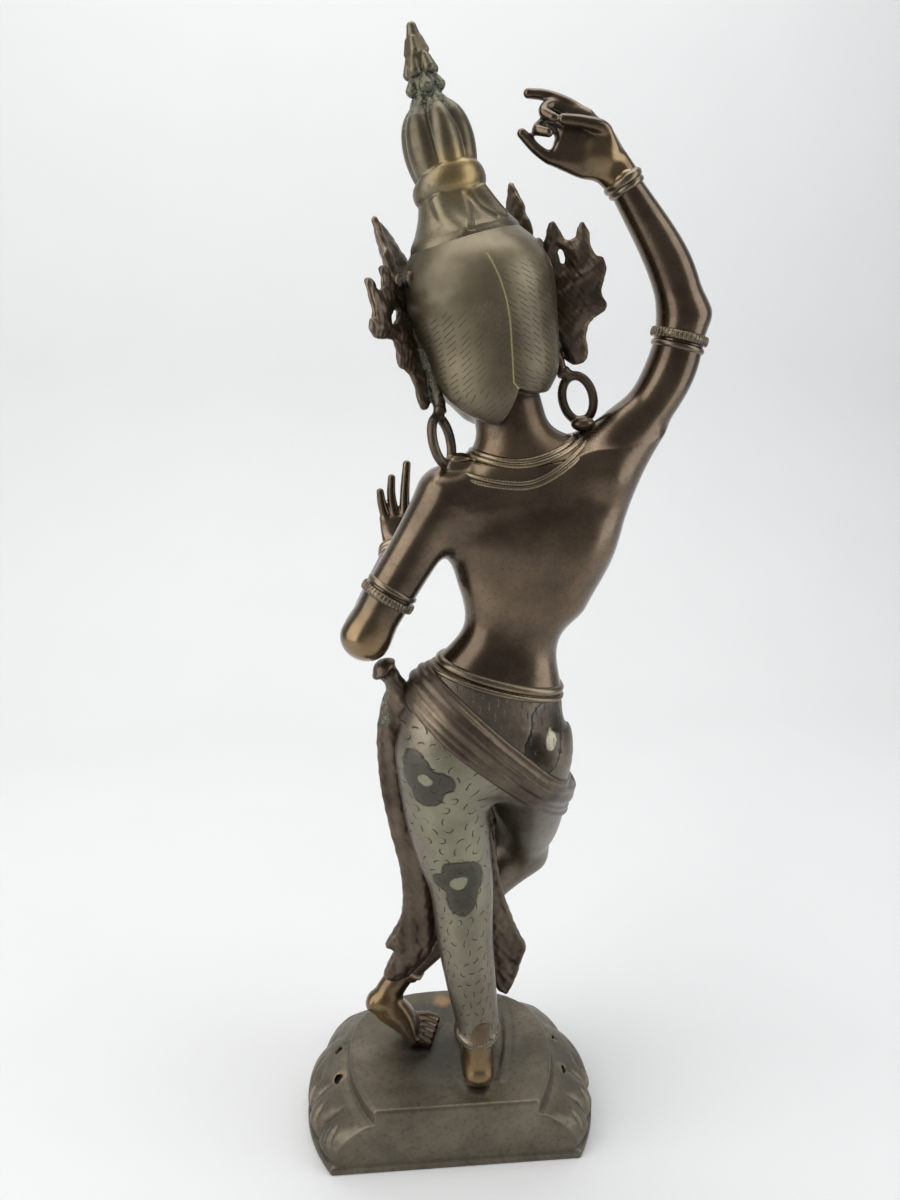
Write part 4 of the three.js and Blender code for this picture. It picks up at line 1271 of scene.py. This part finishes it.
def wire_tree():
    tree = bpy.data.node_groups.new("Wires and beads", "GeometryNodeTree")
    face = tree.interface
    face.new_socket(name="Geometry", in_out="INPUT", socket_type="NodeSocketGeometry")
    for label, start in (("Bead spacing", 0.0016), ("Bead size", 0.0006), ("Bead length", 1.8)):
        made = face.new_socket(name=label, in_out="INPUT", socket_type="NodeSocketFloat")
        made.default_value = start
    face.new_socket(name="Material", in_out="INPUT", socket_type="NodeSocketMaterial")
    face.new_socket(name="Geometry", in_out="OUTPUT", socket_type="NodeSocketGeometry")

    def node(kind, settings=None, **links):
        made = tree.nodes.new(kind)
        for key, value in (settings or {}).items():
            setattr(made, key, value)
        for key, value in links.items():
            socket = made.inputs[int(key[1:])] if key[0] == "i" and key[1:].isdigit() else made.inputs[key]
            if isinstance(value, bpy.types.NodeSocket):
                tree.links.new(value, socket)
            else:
                socket.default_value = value
        return made

    source = node("NodeGroupInput")
    bead_flag = node("GeometryNodeInputNamedAttribute", {"data_type": "FLOAT"}, Name="bead")
    wire_size = node("GeometryNodeInputNamedAttribute", {"data_type": "FLOAT"}, Name="wire")
    is_bead = node("FunctionNodeCompare", {"data_type": "FLOAT", "operation": "GREATER_THAN"},
                   i0=bead_flag.outputs[0], i1=0.5)
    split = node("GeometryNodeSeparateGeometry", {"domain": "POINT"},
                 Geometry=source.outputs["Geometry"], Selection=is_bead.outputs[0])
    beads = node("GeometryNodeMeshToCurve", i0=split.outputs["Selection"])
    ridges = node("GeometryNodeMeshToCurve", i0=split.outputs["Inverted"])
    circle = node("GeometryNodeCurvePrimitiveCircle", {"mode": "RADIUS"}, Resolution=10, Radius=1.0)
    tube = node("GeometryNodeCurveToMesh", Curve=ridges.outputs[0], Scale=wire_size.outputs[0])
    tree.links.new(circle.outputs[0], tube.inputs["Profile Curve"])
    spaced = node("GeometryNodeResampleCurve", i0=beads.outputs[0])
    set_length(spaced)
    tree.links.new(source.outputs["Bead spacing"], spaced.inputs["Length"])
    ball = node("GeometryNodeMeshIcoSphere", Radius=1.0, Subdivisions=2)
    combine = node("ShaderNodeCombineXYZ")
    tree.links.new(source.outputs["Bead size"], combine.inputs[0])
    tree.links.new(source.outputs["Bead size"], combine.inputs[1])
    tall = node("ShaderNodeMath", {"operation": "MULTIPLY"}, i0=source.outputs["Bead size"], i1=source.outputs["Bead length"])
    tree.links.new(tall.outputs[0], combine.inputs[2])
    drop = node("GeometryNodeInputNamedAttribute", {"data_type": "FLOAT_VECTOR"}, Name="along")
    aim = node("FunctionNodeAlignRotationToVector", {"axis": "Z"}, Vector=drop.outputs[0])
    set_beads = node("GeometryNodeInstanceOnPoints", Points=spaced.outputs[0], Instance=ball.outputs["Mesh"],
                     Rotation=aim.outputs[0], Scale=combine.outputs[0])
    both = node("GeometryNodeJoinGeometry")
    tree.links.new(set_beads.outputs[0], both.inputs[0])
    tree.links.new(tube.outputs[0], both.inputs[0])
    real = node("GeometryNodeRealizeInstances", Geometry=both.outputs[0])
    smooth = node("GeometryNodeSetShadeSmooth", Geometry=real.outputs[0])
    coat = node("GeometryNodeSetMaterial", Geometry=smooth.outputs[0])
    tree.links.new(source.outputs["Material"], coat.inputs["Material"])
    result = node("NodeGroupOutput")
    tree.links.new(coat.outputs[0], result.inputs[0])
    return tree


def set_length(resample):
    """Blender keeps the resample mode as a property here."""
    resample.mode = "LENGTH"


def wired(name, loops, finish, spacing=1.6, size=0.6, tall=1.8):
    """A ring piece from loops (places, wire radius in mm, or 0 for a row of beads, axis, closed)."""
    mesh = bpy.data.meshes.new(name + "_loops")
    verts, edges, wire, bead, along = [], [], [], [], []
    for places, radius, axis, closed in loops:
        start, count = len(verts), len(places)
        verts += [tuple((np.asarray(q) + SHIFT) / 1000) for q in places]
        edges += [(start + i, start + (i + 1) % count) for i in range(count if closed else count - 1)]
        wire += [radius / 1000] * count
        bead += [0.0 if radius else 1.0] * count
        along += [tuple(unit(axis))] * count
    mesh.from_pydata(verts, edges, [])
    for key, values in (("wire", wire), ("bead", bead)):
        mesh.attributes.new(key, "FLOAT", "POINT").data.foreach_set("value", values)
    mesh.attributes.new("along", "FLOAT_VECTOR", "POINT").data.foreach_set("vector", np.array(along).ravel())
    guide = bpy.data.objects.new(name + "_guide", mesh)
    bpy.context.scene.collection.objects.link(guide)
    tree = bpy.data.node_groups.get("Wires and beads") or wire_tree()
    nodes = guide.modifiers.new("wires", "NODES")
    nodes.node_group = tree
    sizes = {"Bead spacing": spacing / 1000, "Bead size": size / 1000, "Bead length": tall, "Material": finish}
    for item in tree.interface.items_tree:
        if item.in_out == "INPUT" and item.name in sizes:
            nodes[item.identifier] = sizes[item.name]
    guide.update_tag()
    graph = bpy.context.evaluated_depsgraph_get()
    made = bpy.data.meshes.new_from_object(guide.evaluated_get(graph), preserve_all_data_layers=True, depsgraph=graph)
    made.name = name
    piece = bpy.data.objects.new(name, made)
    bpy.context.scene.collection.objects.link(piece)
    bpy.data.objects.remove(guide)
    for key in ("crease", "edge"):
        layer = piece.data.attributes.new(key, "FLOAT", "POINT")
        layer.data.foreach_set("value", [0.5 if key == "edge" else 0.1] * len(piece.data.vertices))
    return piece


# Sizes and colours that a user would change

def colour_prop(label, text, value):
    return FloatVectorProperty(name=label, description=text, default=value, size=3, subtype="COLOR", min=0, max=1)


def size_prop(label, text, value):
    return FloatProperty(name=label, description=text, default=value, min=0.05, max=40, unit="NONE")


class DancerFinish(bpy.types.PropertyGroup):
    skin_dark: colour_prop("Skin, dark", "Darkest patina of the bare skin", (0.07, 0.045, 0.026))
    skin_light: colour_prop("Skin, light", "Lighter patina of the bare skin", (0.16, 0.112, 0.068))
    hair_dark: colour_prop("Hair, dark", "Darker satin of the hair", (0.1, 0.082, 0.052))
    hair_light: colour_prop("Hair, light", "Lighter satin of the hair", (0.2, 0.168, 0.108))
    cloth_dark: colour_prop("Leg cloth, dark", "Darker tone of the close-fitting cloth", (0.11, 0.09, 0.068))
    cloth_light: colour_prop("Leg cloth, light", "Silvery tone of the close-fitting cloth", (0.19, 0.162, 0.122))
    wrap_dark: colour_prop("Sash, dark", "Darker tone of sash and scarf", (0.07, 0.052, 0.038))
    wrap_light: colour_prop("Sash, light", "Lighter tone of sash and scarf", (0.155, 0.12, 0.086))
    base_dark: colour_prop("Base, dark", "Darker tone of the base", (0.105, 0.09, 0.066))
    base_light: colour_prop("Base, light", "Lighter tone of the base", (0.2, 0.174, 0.128))
    silver: colour_prop("Leg, silvery", "Pale worn metal down the back of the leg", (0.27, 0.255, 0.18))
    worn: colour_prop("Rubbed edges", "Bright metal where the patina is rubbed off", (0.32, 0.25, 0.15))
    # Dark patina and dirt in hollows, pits and engraved lines; in the hollows it is also painted shade
    crease: colour_prop("Creases", "Dirt and dark patina in the hollows", (0.018, 0.014, 0.01))


class DancerSizes(bpy.types.PropertyGroup):
    fine_cell: size_prop("Fine cell", "Mesh cell on head, hands and feet, in millimetres", 0.5)
    broad_cell: size_prop("Broad cell", "Mesh cell on body, legs and base, in millimetres", 0.78)
    wire: size_prop("Ridge radius", "Radius of the ridges on belt and rings, in millimetres", 0.85)
    tick_spacing: size_prop("Tick spacing", "Spacing of the ticks and beads, in millimetres", 1.9)
    lens: FloatProperty(name="Lens", description="Focal length of the camera", default=30.0, min=10, max=200,
                        subtype="DISTANCE_CAMERA")
    key_power: FloatProperty(name="Left light", description="Power of the light on the left", default=4.5, min=0,
                             subtype="POWER")
    fill_power: FloatProperty(name="Right light", description="Power of the light on the right", default=2.6, min=0,
                              subtype="POWER")


def sizes():
    return bpy.context.scene.dancer_sizes


def tones(*names):
    look = bpy.context.scene.dancer_finish
    return [tuple(getattr(look, name)) for name in names]


# The operators: one for each piece or group of like pieces

class DANCER_OT_body(bpy.types.Operator):
    """Builds the bare back, chest and arms, and both hands"""
    bl_idname = "dancer.body"
    bl_label = "Body and hands"

    def execute(self, context):
        dark, light, worn, crease = tones("skin_dark", "skin_light", "worn", "crease")

        def tint(shade, at, colour, rough, metallic, height):
            spots = [((28.6, 15, 194), 9), ((24, 6, 200), 6), ((-20, 14, 262), 9), ((-50, 2, 343), 8)]
            colour, rough = golden(shade, at, colour, rough, spots, (0.27, 0.18, 0.08), 0.6)
            return colour, rough, metallic, height

        finish = bronze("skin bronze", dark, light, worn, crease, roughness=0.19, coat=0.6, grain=0.25,
                        wear=0.35, soot_and_shade=0.6, tint=tint)
        body = cast("back_and_arms", skin(), (-86, -38, 168), (38, 36, 345), sizes().broad_cell)
        settled(body, "dancer", finish)
        fine = sizes().fine_cell
        settled(cast("raised_hand", raised_hand(), (-60, -8, 330), (-18, 12, 366), fine), "dancer", finish)
        settled(cast("chest_hand", chest_hand(), (2, -44, 208), (27, -24, 252), fine), "dancer", finish)
        return {"FINISHED"}


class DANCER_OT_head(bpy.types.Operator):
    """Builds the head with its face, neck and engraved hair, and the topknot with its bud"""
    bl_idname = "dancer.head"
    bl_label = "Head and topknot"

    def execute(self, context):
        skin_dark, skin_light, dark, light, worn, crease = tones(
            "skin_dark", "skin_light", "hair_dark", "hair_light", "worn", "crease")
        cap, bare = hair_form(), bare_head()

        def covered(q):
            return np.clip((bare(q) - cap(q)) / 1.2 + 0.4, 0, 1)

        def parting_at(q):
            line = np.array(PARTING)[::-1]
            return q[:, 0] - np.interp(q[:, 2], line[:, 1], line[:, 0])

        marks = {
            "hair": covered,
            "lane": lambda q: parting_at(q) * (1 + 0.02 * np.clip(16 - q[:, 1], 0, 40)),
            "tall": lambda q: q[:, 2],
            "strand": lambda q: q[:, 2] + 0.85 * np.abs(parting_at(q)),
        }

        def tint(shade, at, colour, rough, metallic, height):
            inside = shade.mark("hair").between(0.3, 0.6)
            tone = shade.blend(shade.noise(at, 0.05, 3.0).between(0.35, 0.65), dark, light)
            tone = shade.blend((shade.mark("edge") * 0.7).between(0.2, 0.8), tone, worn)
            # Hair creases darkened: partly dark patina, partly painted shade
            tone = shade.blend((shade.mark("crease") * 0.9).between(0.2, 0.9), tone, crease)
            colour = shade.blend(inside, colour, tone)
            rough = rough + inside * 0.14
            tone, rough, height = hair_pattern(shade, colour, rough, height, inside)
            return tone, rough, metallic, height

        finish = bronze("hair and face bronze", skin_dark, skin_light, worn, crease, roughness=0.26, coat=0.3,
                        grain=0.6, wear=0.4, soot_and_shade=0.8, tint=tint)
        plane = side_of(to_head(np.array([COLLAR]))[0], HEAD[:3, :3].T @ unit(COLLAR_AXIS))
        form = kept(head_form(), flipped(plane))
        head = cast("head", form, (-27, -33, -48), (27, 30, 30), sizes().fine_cell, extra=marks, place=HEAD)
        settled(head, "dancer", finish)

        def green(shade, at, colour, rough, metallic, height):
            joint = HEAD @ np.array([0.8, 2, 69, 1])
            side = HEAD @ np.array([9, 2, 67, 1])
            colour, rough = golden(shade, at, colour, rough, [(tuple((HEAD @ np.array([1, 12, 46, 1]))[:3]), 6)],
                                   (0.34, 0.24, 0.1), 0.8)
            return verdigris(shade, at, colour, rough, metallic, height,
                             [(tuple(joint[:3]), 7.5), (tuple(side[:3]), 5)])

        finish = bronze("topknot bronze", dark, light, worn, crease, roughness=0.33, coat=0.25, grain=0.8,
                        wear=0.5, soot_and_shade=0.9, tint=green)
        knot = cast("topknot", topknot_form(), (-20, -20, 22), (20, 22, 92), sizes().fine_cell, place=HEAD)
        settled(knot, "dancer", finish)
        return {"FINISHED"}


class DANCER_OT_crown(bpy.types.Operator):
    """Builds the crown leaves, the pierced side wings and the ear hoops"""
    bl_idname = "dancer.crown"
    bl_label = "Crown and hoops"

    def execute(self, context):
        dark, light, worn, crease = tones("wrap_dark", "wrap_light", "worn", "crease")

        def green(shade, at, colour, rough, metallic, height):
            spots = [(tuple((HEAD @ np.array([s * 21.5, 2, z, 1]))[:3]), 4.5) for s, z in ((1, 8), (1, -4), (-1, 12), (1, -14))]
            return verdigris(shade, at, colour, rough, metallic, height, spots, amount=0.6)

        finish = bronze("crown bronze", dark, light, worn, crease, roughness=0.34, coat=0.2, grain=1.3,
                        wear=1.0, soot_and_shade=1.0, tint=green)
        crown = cast("crown", crown_form(), (-42, -36, -22), (42, 26, 52), sizes().fine_cell, place=HEAD)
        settled(crown, "dancer", finish)
        for side, label in ((-1, "right"), (1, "left")):
            hoop = cast(label + "_ear_hoop", hoop_form(side), (side * 24.6 - 8, -2, -41), (side * 24.6 + 8, 12, -16),
                        sizes().fine_cell, place=HEAD)
            settled(hoop, "dancer", finish)
        return {"FINISHED"}


class DANCER_OT_legs(bpy.types.Operator):
    """Builds the hips and legs in their close-fitting punched cloth, and the bare feet"""
    bl_idname = "dancer.legs"
    bl_label = "Legs and feet"

    def execute(self, context):
        dark, light, silver, worn, crease = tones("cloth_dark", "cloth_light", "silver", "worn", "crease")
        stand, cross = standing_leg(), crossing_leg()
        axis = Limb([(2, 8, 160, 12), (1.8, 8, 134, 12), (-0.6, 8.5, 116, 12), (*LEFT_KNEE, 11), (-6.6, 15.5, 65, 9), (-9, 19.5, 42, 8)])

        def round_leg(p):
            _, u, v, _, _, _ = axis.local(p)
            return np.arctan2(u, -v) * 11.0

        def standing(p):
            return np.clip((cross(p) - stand(p)) / 3 + 0.5, 0, 1)

        marks = {
            "down": lambda p: p[:, 2] + 0.3 * np.minimum(p[:, 0], 0),
            "round": lambda p: np.where(p[:, 2] > 158, p[:, 0], round_leg(p)),
            "punched": lambda p: standing(p),
            "hip": lambda p: np.clip(((p - (-15, 5.4, 153.6)) @ unit((-0.66, 0, 0.75)) - 2) / 3, 0, 1),
        }
        for number, outline in enumerate(INLAYS):
            edge = chart_of(soft_outline(outline, 4))
            marks["inlay%d" % number] = lambda p, e=edge: np.where(p[:, 1] > 6, -e(p[:, 0], p[:, 2]), -9.0)

        def tint(shade, at, colour, rough, metallic, height):
            pale = (1.0 - shade.mark("round").maths("ABSOLUTE").between(5.0, 13.0)) * shade.mark("punched")
            height_on_leg = shade.mark("down")
            pale = pale * (1.0 - shade.mark("hip")) * (0.3 + height_on_leg.between(60.0, 105.0) * 0.7)
            pale = pale * (0.55 + shade.noise(at, 0.08, 3.0).between(0.35, 0.6) * 0.45)
            colour = shade.blend(pale, colour, silver)
            colour, rough, height = leg_pattern(shade, colour, rough, height)
            tones_of = (((0.04, 0.03, 0.02), 0.04), ((0.062, 0.056, 0.046), 0.14), ((0.052, 0.05, 0.04), 0.1))
            for number, (tone, satin) in enumerate(tones_of):
                ragged = shade.mark("inlay%d" % (2 * number)) + (shade.noise(at, 0.5, 3.0) - 0.5) * 1.4
                patch = ragged.between(-0.15, 0.25)
                rim = ragged.between(-0.7, -0.1) * (1.0 - ragged.between(0.0, 0.5))
                # A smaller field inside each inlay, painted in the pale silver tone
                window = shade.mark("inlay%d" % (2 * number + 1)) + (shade.noise(at, 0.7, 3.0) - 0.5) * 1.2
                grey = shade.blend(ragged.between(0.8, 2.6), (0.07, 0.066, 0.056), tone)
                grey = shade.blend(window.between(-0.1, 0.4), grey, silver)
                colour = shade.blend(patch * 0.92, colour, grey)
                colour = shade.blend(rim * 0.7, colour, crease)
                rough = rough + patch * (satin - 0.12)
                height = height - rim * 0.8
            return colour, rough, metallic, height

        finish = bronze("punched cloth bronze", dark, light, worn, crease, roughness=0.32, coat=0.2, grain=0.8,
                        wear=0.5, soot_and_shade=0.8, tint=tint)
        legs = cast("hips_and_legs", garment(), (-48, -40, 38), (28, 32, 182), sizes().broad_cell, extra=marks)
        settled(legs, "dancer", finish)

        skin_dark, skin_light = tones("skin_dark", "skin_light")

        def gild(shade, at, colour, rough, metallic, height):
            colour, rough = golden(shade, at, colour, rough, [((-8.8, 27, 33), 12), ((26, -2, 41), 9)],
                                   (0.2, 0.135, 0.06), 0.85)
            return colour, rough, metallic, height

        finish = bronze("foot bronze", skin_dark, skin_light, worn, crease, roughness=0.26, coat=0.4, grain=0.6,
                        wear=0.4, soot_and_shade=0.8, tint=gild)
        fine = sizes().fine_cell
        settled(cast("standing_foot", standing_foot(), (-20, -18, 25), (4, 34, 56), fine), "dancer", finish)
        settled(cast("crossing_foot", crossing_foot(), (0, -14, 25), (34, 8, 62), fine), "dancer", finish)
        return {"FINISHED"}


# Smooth inlaid fields on hip, thigh and knee, each followed by a smaller pale field inside it: (x, z) outlines
INLAYS = [
    [(-31.4, 173.6), (-35.2, 171.3), (-36.6, 166.8), (-36.4, 161.4), (-35.3, 154.2), (-32.9, 150.6), (-30, 149.6),
     (-27.8, 151.7), (-24.4, 153.7), (-23, 159.2), (-25.8, 165.4), (-26.1, 169.4), (-29, 171.9)],
    [(-32.5, 164.2), (-34.7, 160.5), (-32.7, 157), (-30.6, 158.9), (-31.3, 162.9)],
    [(15.8, 158.1), (13.3, 158.9), (9.6, 156.5), (7.1, 152.8), (3.4, 152.2), (0.7, 149.8), (0.9, 146.1), (3.8, 144.4),
     (5.1, 140.8), (9.3, 139.3), (12.6, 140.7), (14.2, 144.9), (16.3, 148.6), (16.5, 153.2)],
    [(12.5, 150.3), (10, 151.5), (7.4, 148.7), (9.7, 147), (11.7, 148)],
    [(3.4, 115.9), (-1.7, 116.6), (-6.9, 115.9), (-9.5, 112.3), (-9.6, 107.5), (-7.9, 102.7), (-7, 98.8), (-3.6, 95.8),
     (0.4, 96.7), (2.1, 100.3), (2.6, 104.2), (5.6, 106.4), (6.9, 110.3), (4.3, 112.1)],
    [(1.3, 109.5), (-4.4, 110.7), (-4.5, 107.7), (-1.8, 105.5), (1.3, 106.6)],
]


class DANCER_OT_wraps(bpy.types.Operator):
    """Builds the sash round the hips, the scarf with its knot, and the falling ends"""
    bl_idname = "dancer.wraps"
    bl_label = "Sash and scarf"

    def execute(self, context):
        dark, light, worn, crease = tones("wrap_dark", "wrap_light", "worn", "crease")

        def green(shade, at, colour, rough, metallic, height):
            spots = [((24, 5, 176), 4), ((24.5, 5, 170), 3.5), ((22, 5, 164), 2.6)]
            return verdigris(shade, at, colour, rough, metallic, height, spots, amount=0.75)

        finish = bronze("sash bronze", dark, light, worn, crease, roughness=0.33, coat=0.2, grain=1.0,
                        wear=0.7, soot_and_shade=0.9, tint=green)
        body = hips()
        sash = cast("sash", sash_form(body), (-52, -28, 122), (24, 36, 186), sizes().broad_cell * 0.85)
        settled(sash, "dancer", finish)
        scarf = cast("scarf", scarf_form(), (-34, -26, 40), (32, 14, 190), sizes().broad_cell * 0.8)
        settled(scarf, "dancer", finish)
        return {"FINISHED"}


class DANCER_OT_jewellery(bpy.types.Operator):
    """Builds belt, collar, armlets and bracelets from ridges, beads and ticks"""
    bl_idname = "dancer.jewellery"
    bl_label = "Belt and rings"

    def execute(self, context):
        worn, crease, light = tones("worn", "crease", "wrap_light")
        finish = bronze("ring bronze", (0.1, 0.078, 0.055), light, worn, crease, roughness=0.24, coat=0.35,
                        grain=0.8, wear=0.8, soot_and_shade=0.7)
        wire, spacing = sizes().wire, sizes().tick_spacing
        body, whole = torso(), hips()

        def band(form, centre, axis, side, offsets, count=64, far=40):
            n = unit(axis)
            loops = []
            for off, radius, lift in offsets:
                at = np.array(centre, float) + off * n
                loops.append((hugging(form, at, axis, side, count, lift, far), radius, n, True))
            return loops

        belt = band(joined(body, whole), BELT, BELT_AXIS, (1, 0, 0),
                    [(1.2, 1.7, -0.75), (-1.3, 1.0, -0.35)], 72)
        settled(wired("belt", belt, finish, spacing, 0.62, 2.2), "dancer", finish)

        collar = []
        for climb, lean, radius in ((1.06, 0, 0.95), (0.92, 0, 0.95), (0.48, 0.36, 0.85), (0.38, 0.36, 0.85)):
            rise = lambda turn, a=climb, b=lean: a + b * np.maximum(-np.cos(turn), 0) ** 2
            loop = hugging(body, (-21.5, 4, 240), (0, 0, 1), (1, 0, 0), 64, -0.15, 40, rise)
            collar.append((loop, radius, (0, 0, 1), True))
        settled(wired("collar", collar, finish, 2.2, 0.8, 1.0), "dancer", finish)

        left, right = left_arm(), right_arm()
        for label, form, start, end, share, far in (
                ("left_armlet", left, LEFT_SHOULDER, LEFT_ELBOW, 0.68, 14),
                ("right_armlet", right, (-72, 1.6, 281), RIGHT_ELBOW, 0.55, 14)):
            a, b = np.array(start, float), np.array(end, float)
            at = a + share * (b - a)
            loops = band(form, at, b - a, (0, 1, 0), [(-2.2, 1.2, -0.45), (1.0, 1.75, -0.35), (1.0, 0, 1.0)], 48, far)
            settled(wired(label, loops, finish, spacing * 0.7, 0.5, 3.0), "dancer", finish)
        for label, form, start, end, share in (
                ("left_bracelet", left, (25, -3, 201), LEFT_WRIST, 0.93),
                ("right_bracelet", right, (-69.6, 0.6, 313), RIGHT_WRIST, 0.95)):
            a, b = np.array(start, float), np.array(end, float)
            at = a + share * (b - a)
            loops = band(form, at, b - a, (0, 1, 0), [(-1.2, 1.2, -0.2), (0.9, 1.6, 0)], 40, 12)
            settled(wired(label, loops, finish, spacing, 0.5, 1.4), "dancer", finish)
        return {"FINISHED"}


class DANCER_OT_base(bpy.types.Operator):
    """Builds the hollow lotus base with its plate, petals, rim and casting faults"""
    bl_idname = "dancer.base"
    bl_label = "Lotus base"

    def execute(self, context):
        dark, light, worn, crease = tones("base_dark", "base_light", "worn", "crease")

        def stain(shade, at, colour, rough, metallic, height):
            for centre, radius in (((2, 8, 26), 13), ((9, -12, 26), 9), ((-2, -18, 26), 8)):
                mask = spot(shade, at, centre, radius, 1.2) * 0.7
                colour = shade.blend(mask, colour, (0.075, 0.075, 0.066))
                rough = rough + mask * 0.08
            mask = spot(shade, at, (0.8, -23.2, 26), 3.2, 0.9)
            colour = shade.blend(mask * 0.8, colour, (0.34, 0.2, 0.09))
            pits = shade.noise(at, 0.9, 2.0).between(0.7, 0.76)
            colour = shade.blend(pits * 0.6, colour, crease)
            return colour, rough, metallic - mask * 0.4, height - pits * 0.5

        finish = bronze("base bronze", dark, light, worn, crease, roughness=0.4, coat=0.15, grain=1.3,
                        wear=0.45, soot_and_shade=0.8, tint=stain)
        base = cast("lotus_base_casting", base_form(), (-57, -50, -1), (57, 37, 28), sizes().broad_cell * 0.85)
        settled(base, "lotus_base", finish)
        return {"FINISHED"}


CAMERA_PLACE = (28.5, 325.76, 298.0)
CAMERA_DOWN, CAMERA_TURN = math.radians(16.0), math.radians(5.07)


def in_row_frame(place):
    return Vector((np.array(place, float) + SHIFT) / 1000)


def paper():
    shade = Shade("studio paper")
    at = shade.place()
    colour = shade.blend(shade.noise(at, 0.01, 2.0), (0.73, 0.735, 0.74), (0.76, 0.765, 0.77))
    body = shade.node("ShaderNodeBsdfPrincipled", {}, {"Base Color": colour, "Roughness": 0.8})
    out = shade.node("ShaderNodeOutputMaterial")
    shade.tree.links.new(body.outputs["BSDF"], out.inputs["Surface"])
    return shade.material


class DANCER_OT_stage(bpy.types.Operator):
    """Sets the pale paper sweep, the soft lights and the camera"""
    bl_idname = "dancer.stage"
    bl_label = "Stage, lights and camera"

    def execute(self, context):
        scene = context.scene
        scene.view_settings.view_transform = "Standard"
        path = [(2.4, 0.0), (0.6, 0.0), (-0.35, 0.0)]
        path += [(-0.35 - 0.25 * (1 - u), 0.25 * v) for u, v in [(1 - math.sin(a), 1 - math.cos(a)) for a in
                                                              np.linspace(0.1, math.pi / 2, 14)]]
        path += [(-0.6, 2.2)]
        verts = [(x, y, z) for y, z in path for x in (-2.6, 2.6)]
        faces = [(2 * i, 2 * i + 1, 2 * i + 3, 2 * i + 2) for i in range(len(path) - 1)]
        mesh = bpy.data.meshes.new("paper_sweep")
        mesh.from_pydata(verts, [], faces)
        mesh.polygons.foreach_set("use_smooth", [True] * len(faces))
        sweep = bpy.data.objects.new("paper_sweep", mesh)
        scene.collection.objects.link(sweep)
        mesh.materials.append(paper())

        for label, place, aim, size, power, tint in (
                ("left_light", (620, 260, 470), (0, 0, 200), (0.7, 0.9), sizes().key_power, (1, 0.99, 0.97)),
                ("right_light", (-640, 230, 380), (0, 0, 200), (0.45, 0.9), sizes().fill_power, (0.98, 0.99, 1)),
                ("top_light", (0, -150, 950), (0, -60, 0), (0.8, 0.8), 2.6, (1, 0.995, 0.985)),
                ("wall_light", (0, -100, 1300), (0, -620, 300), (1.6, 0.5), 5.5, (1, 0.995, 0.985))):
            data = bpy.data.lights.new(label, "AREA")
            data.shape = "RECTANGLE"
            data.size, data.size_y = size
            data.energy = power
            data.color = tint
            lamp = bpy.data.objects.new(label, data)
            lamp.location = in_row_frame(place)
            lamp.rotation_euler = (in_row_frame(aim) - lamp.location).to_track_quat("-Z", "Y").to_euler()
            scene.collection.objects.link(lamp)

        world = bpy.data.worlds.new("soft room")
        world.use_nodes = True
        back = world.node_tree.nodes["Background"]
        back.inputs["Color"].default_value = (0.97, 0.98, 1.0, 1)
        back.inputs["Strength"].default_value = 0.24
        scene.world = world

        lens = bpy.data.cameras.new("camera")
        lens.lens = sizes().lens
        lens.sensor_width = 36.0
        lens.clip_start = 0.02
        camera = bpy.data.objects.new("camera", lens)
        level = math.cos(CAMERA_DOWN)
        look = Vector((-math.sin(CAMERA_TURN) * level, -math.cos(CAMERA_TURN) * level, -math.sin(CAMERA_DOWN)))
        camera.location = in_row_frame(CAMERA_PLACE)
        camera.rotation_euler = look.to_track_quat("-Z", "Y").to_euler()
        scene.collection.objects.link(camera)
        scene.camera = camera
        return {"FINISHED"}


STEPS = (
    DANCER_OT_body, DANCER_OT_head, DANCER_OT_crown, DANCER_OT_legs, DANCER_OT_wraps, DANCER_OT_jewellery,
    DANCER_OT_base, DANCER_OT_stage,
)


class DANCER_PT_panel(bpy.types.Panel):
    """Lists the sculpture's pieces and their sizes and colours"""
    bl_label = "Dancer sculpture"
    bl_idname = "DANCER_PT_panel"
    bl_space_type = "VIEW_3D"
    bl_region_type = "UI"
    bl_category = "Dancer"

    def draw(self, context):
        layout = self.layout
        for step in STEPS:
            layout.operator(step.bl_idname)
        for group in (context.scene.dancer_sizes, context.scene.dancer_finish):
            box = layout.box()
            for key in group.bl_rna.properties.keys():
                if key not in {"rna_type", "name"}:
                    box.prop(group, key)


CLASSES = (DancerFinish, DancerSizes, *STEPS, DANCER_PT_panel)


def register():
    for kind in CLASSES:
        bpy.utils.register_class(kind)
    bpy.types.Scene.dancer_finish = PointerProperty(type=DancerFinish)
    bpy.types.Scene.dancer_sizes = PointerProperty(type=DancerSizes)


def unregister():
    del bpy.types.Scene.dancer_sizes
    del bpy.types.Scene.dancer_finish
    for kind in reversed(CLASSES):
        bpy.utils.unregister_class(kind)


def main():
    register()
    for step in STEPS:
        group, name = step.bl_idname.split(".")
        start = time.time()
        getattr(getattr(bpy.ops, group), name)()
        print(step.bl_label, round(time.time() - start, 1), "s")


if __name__ == "__main__":
    main()
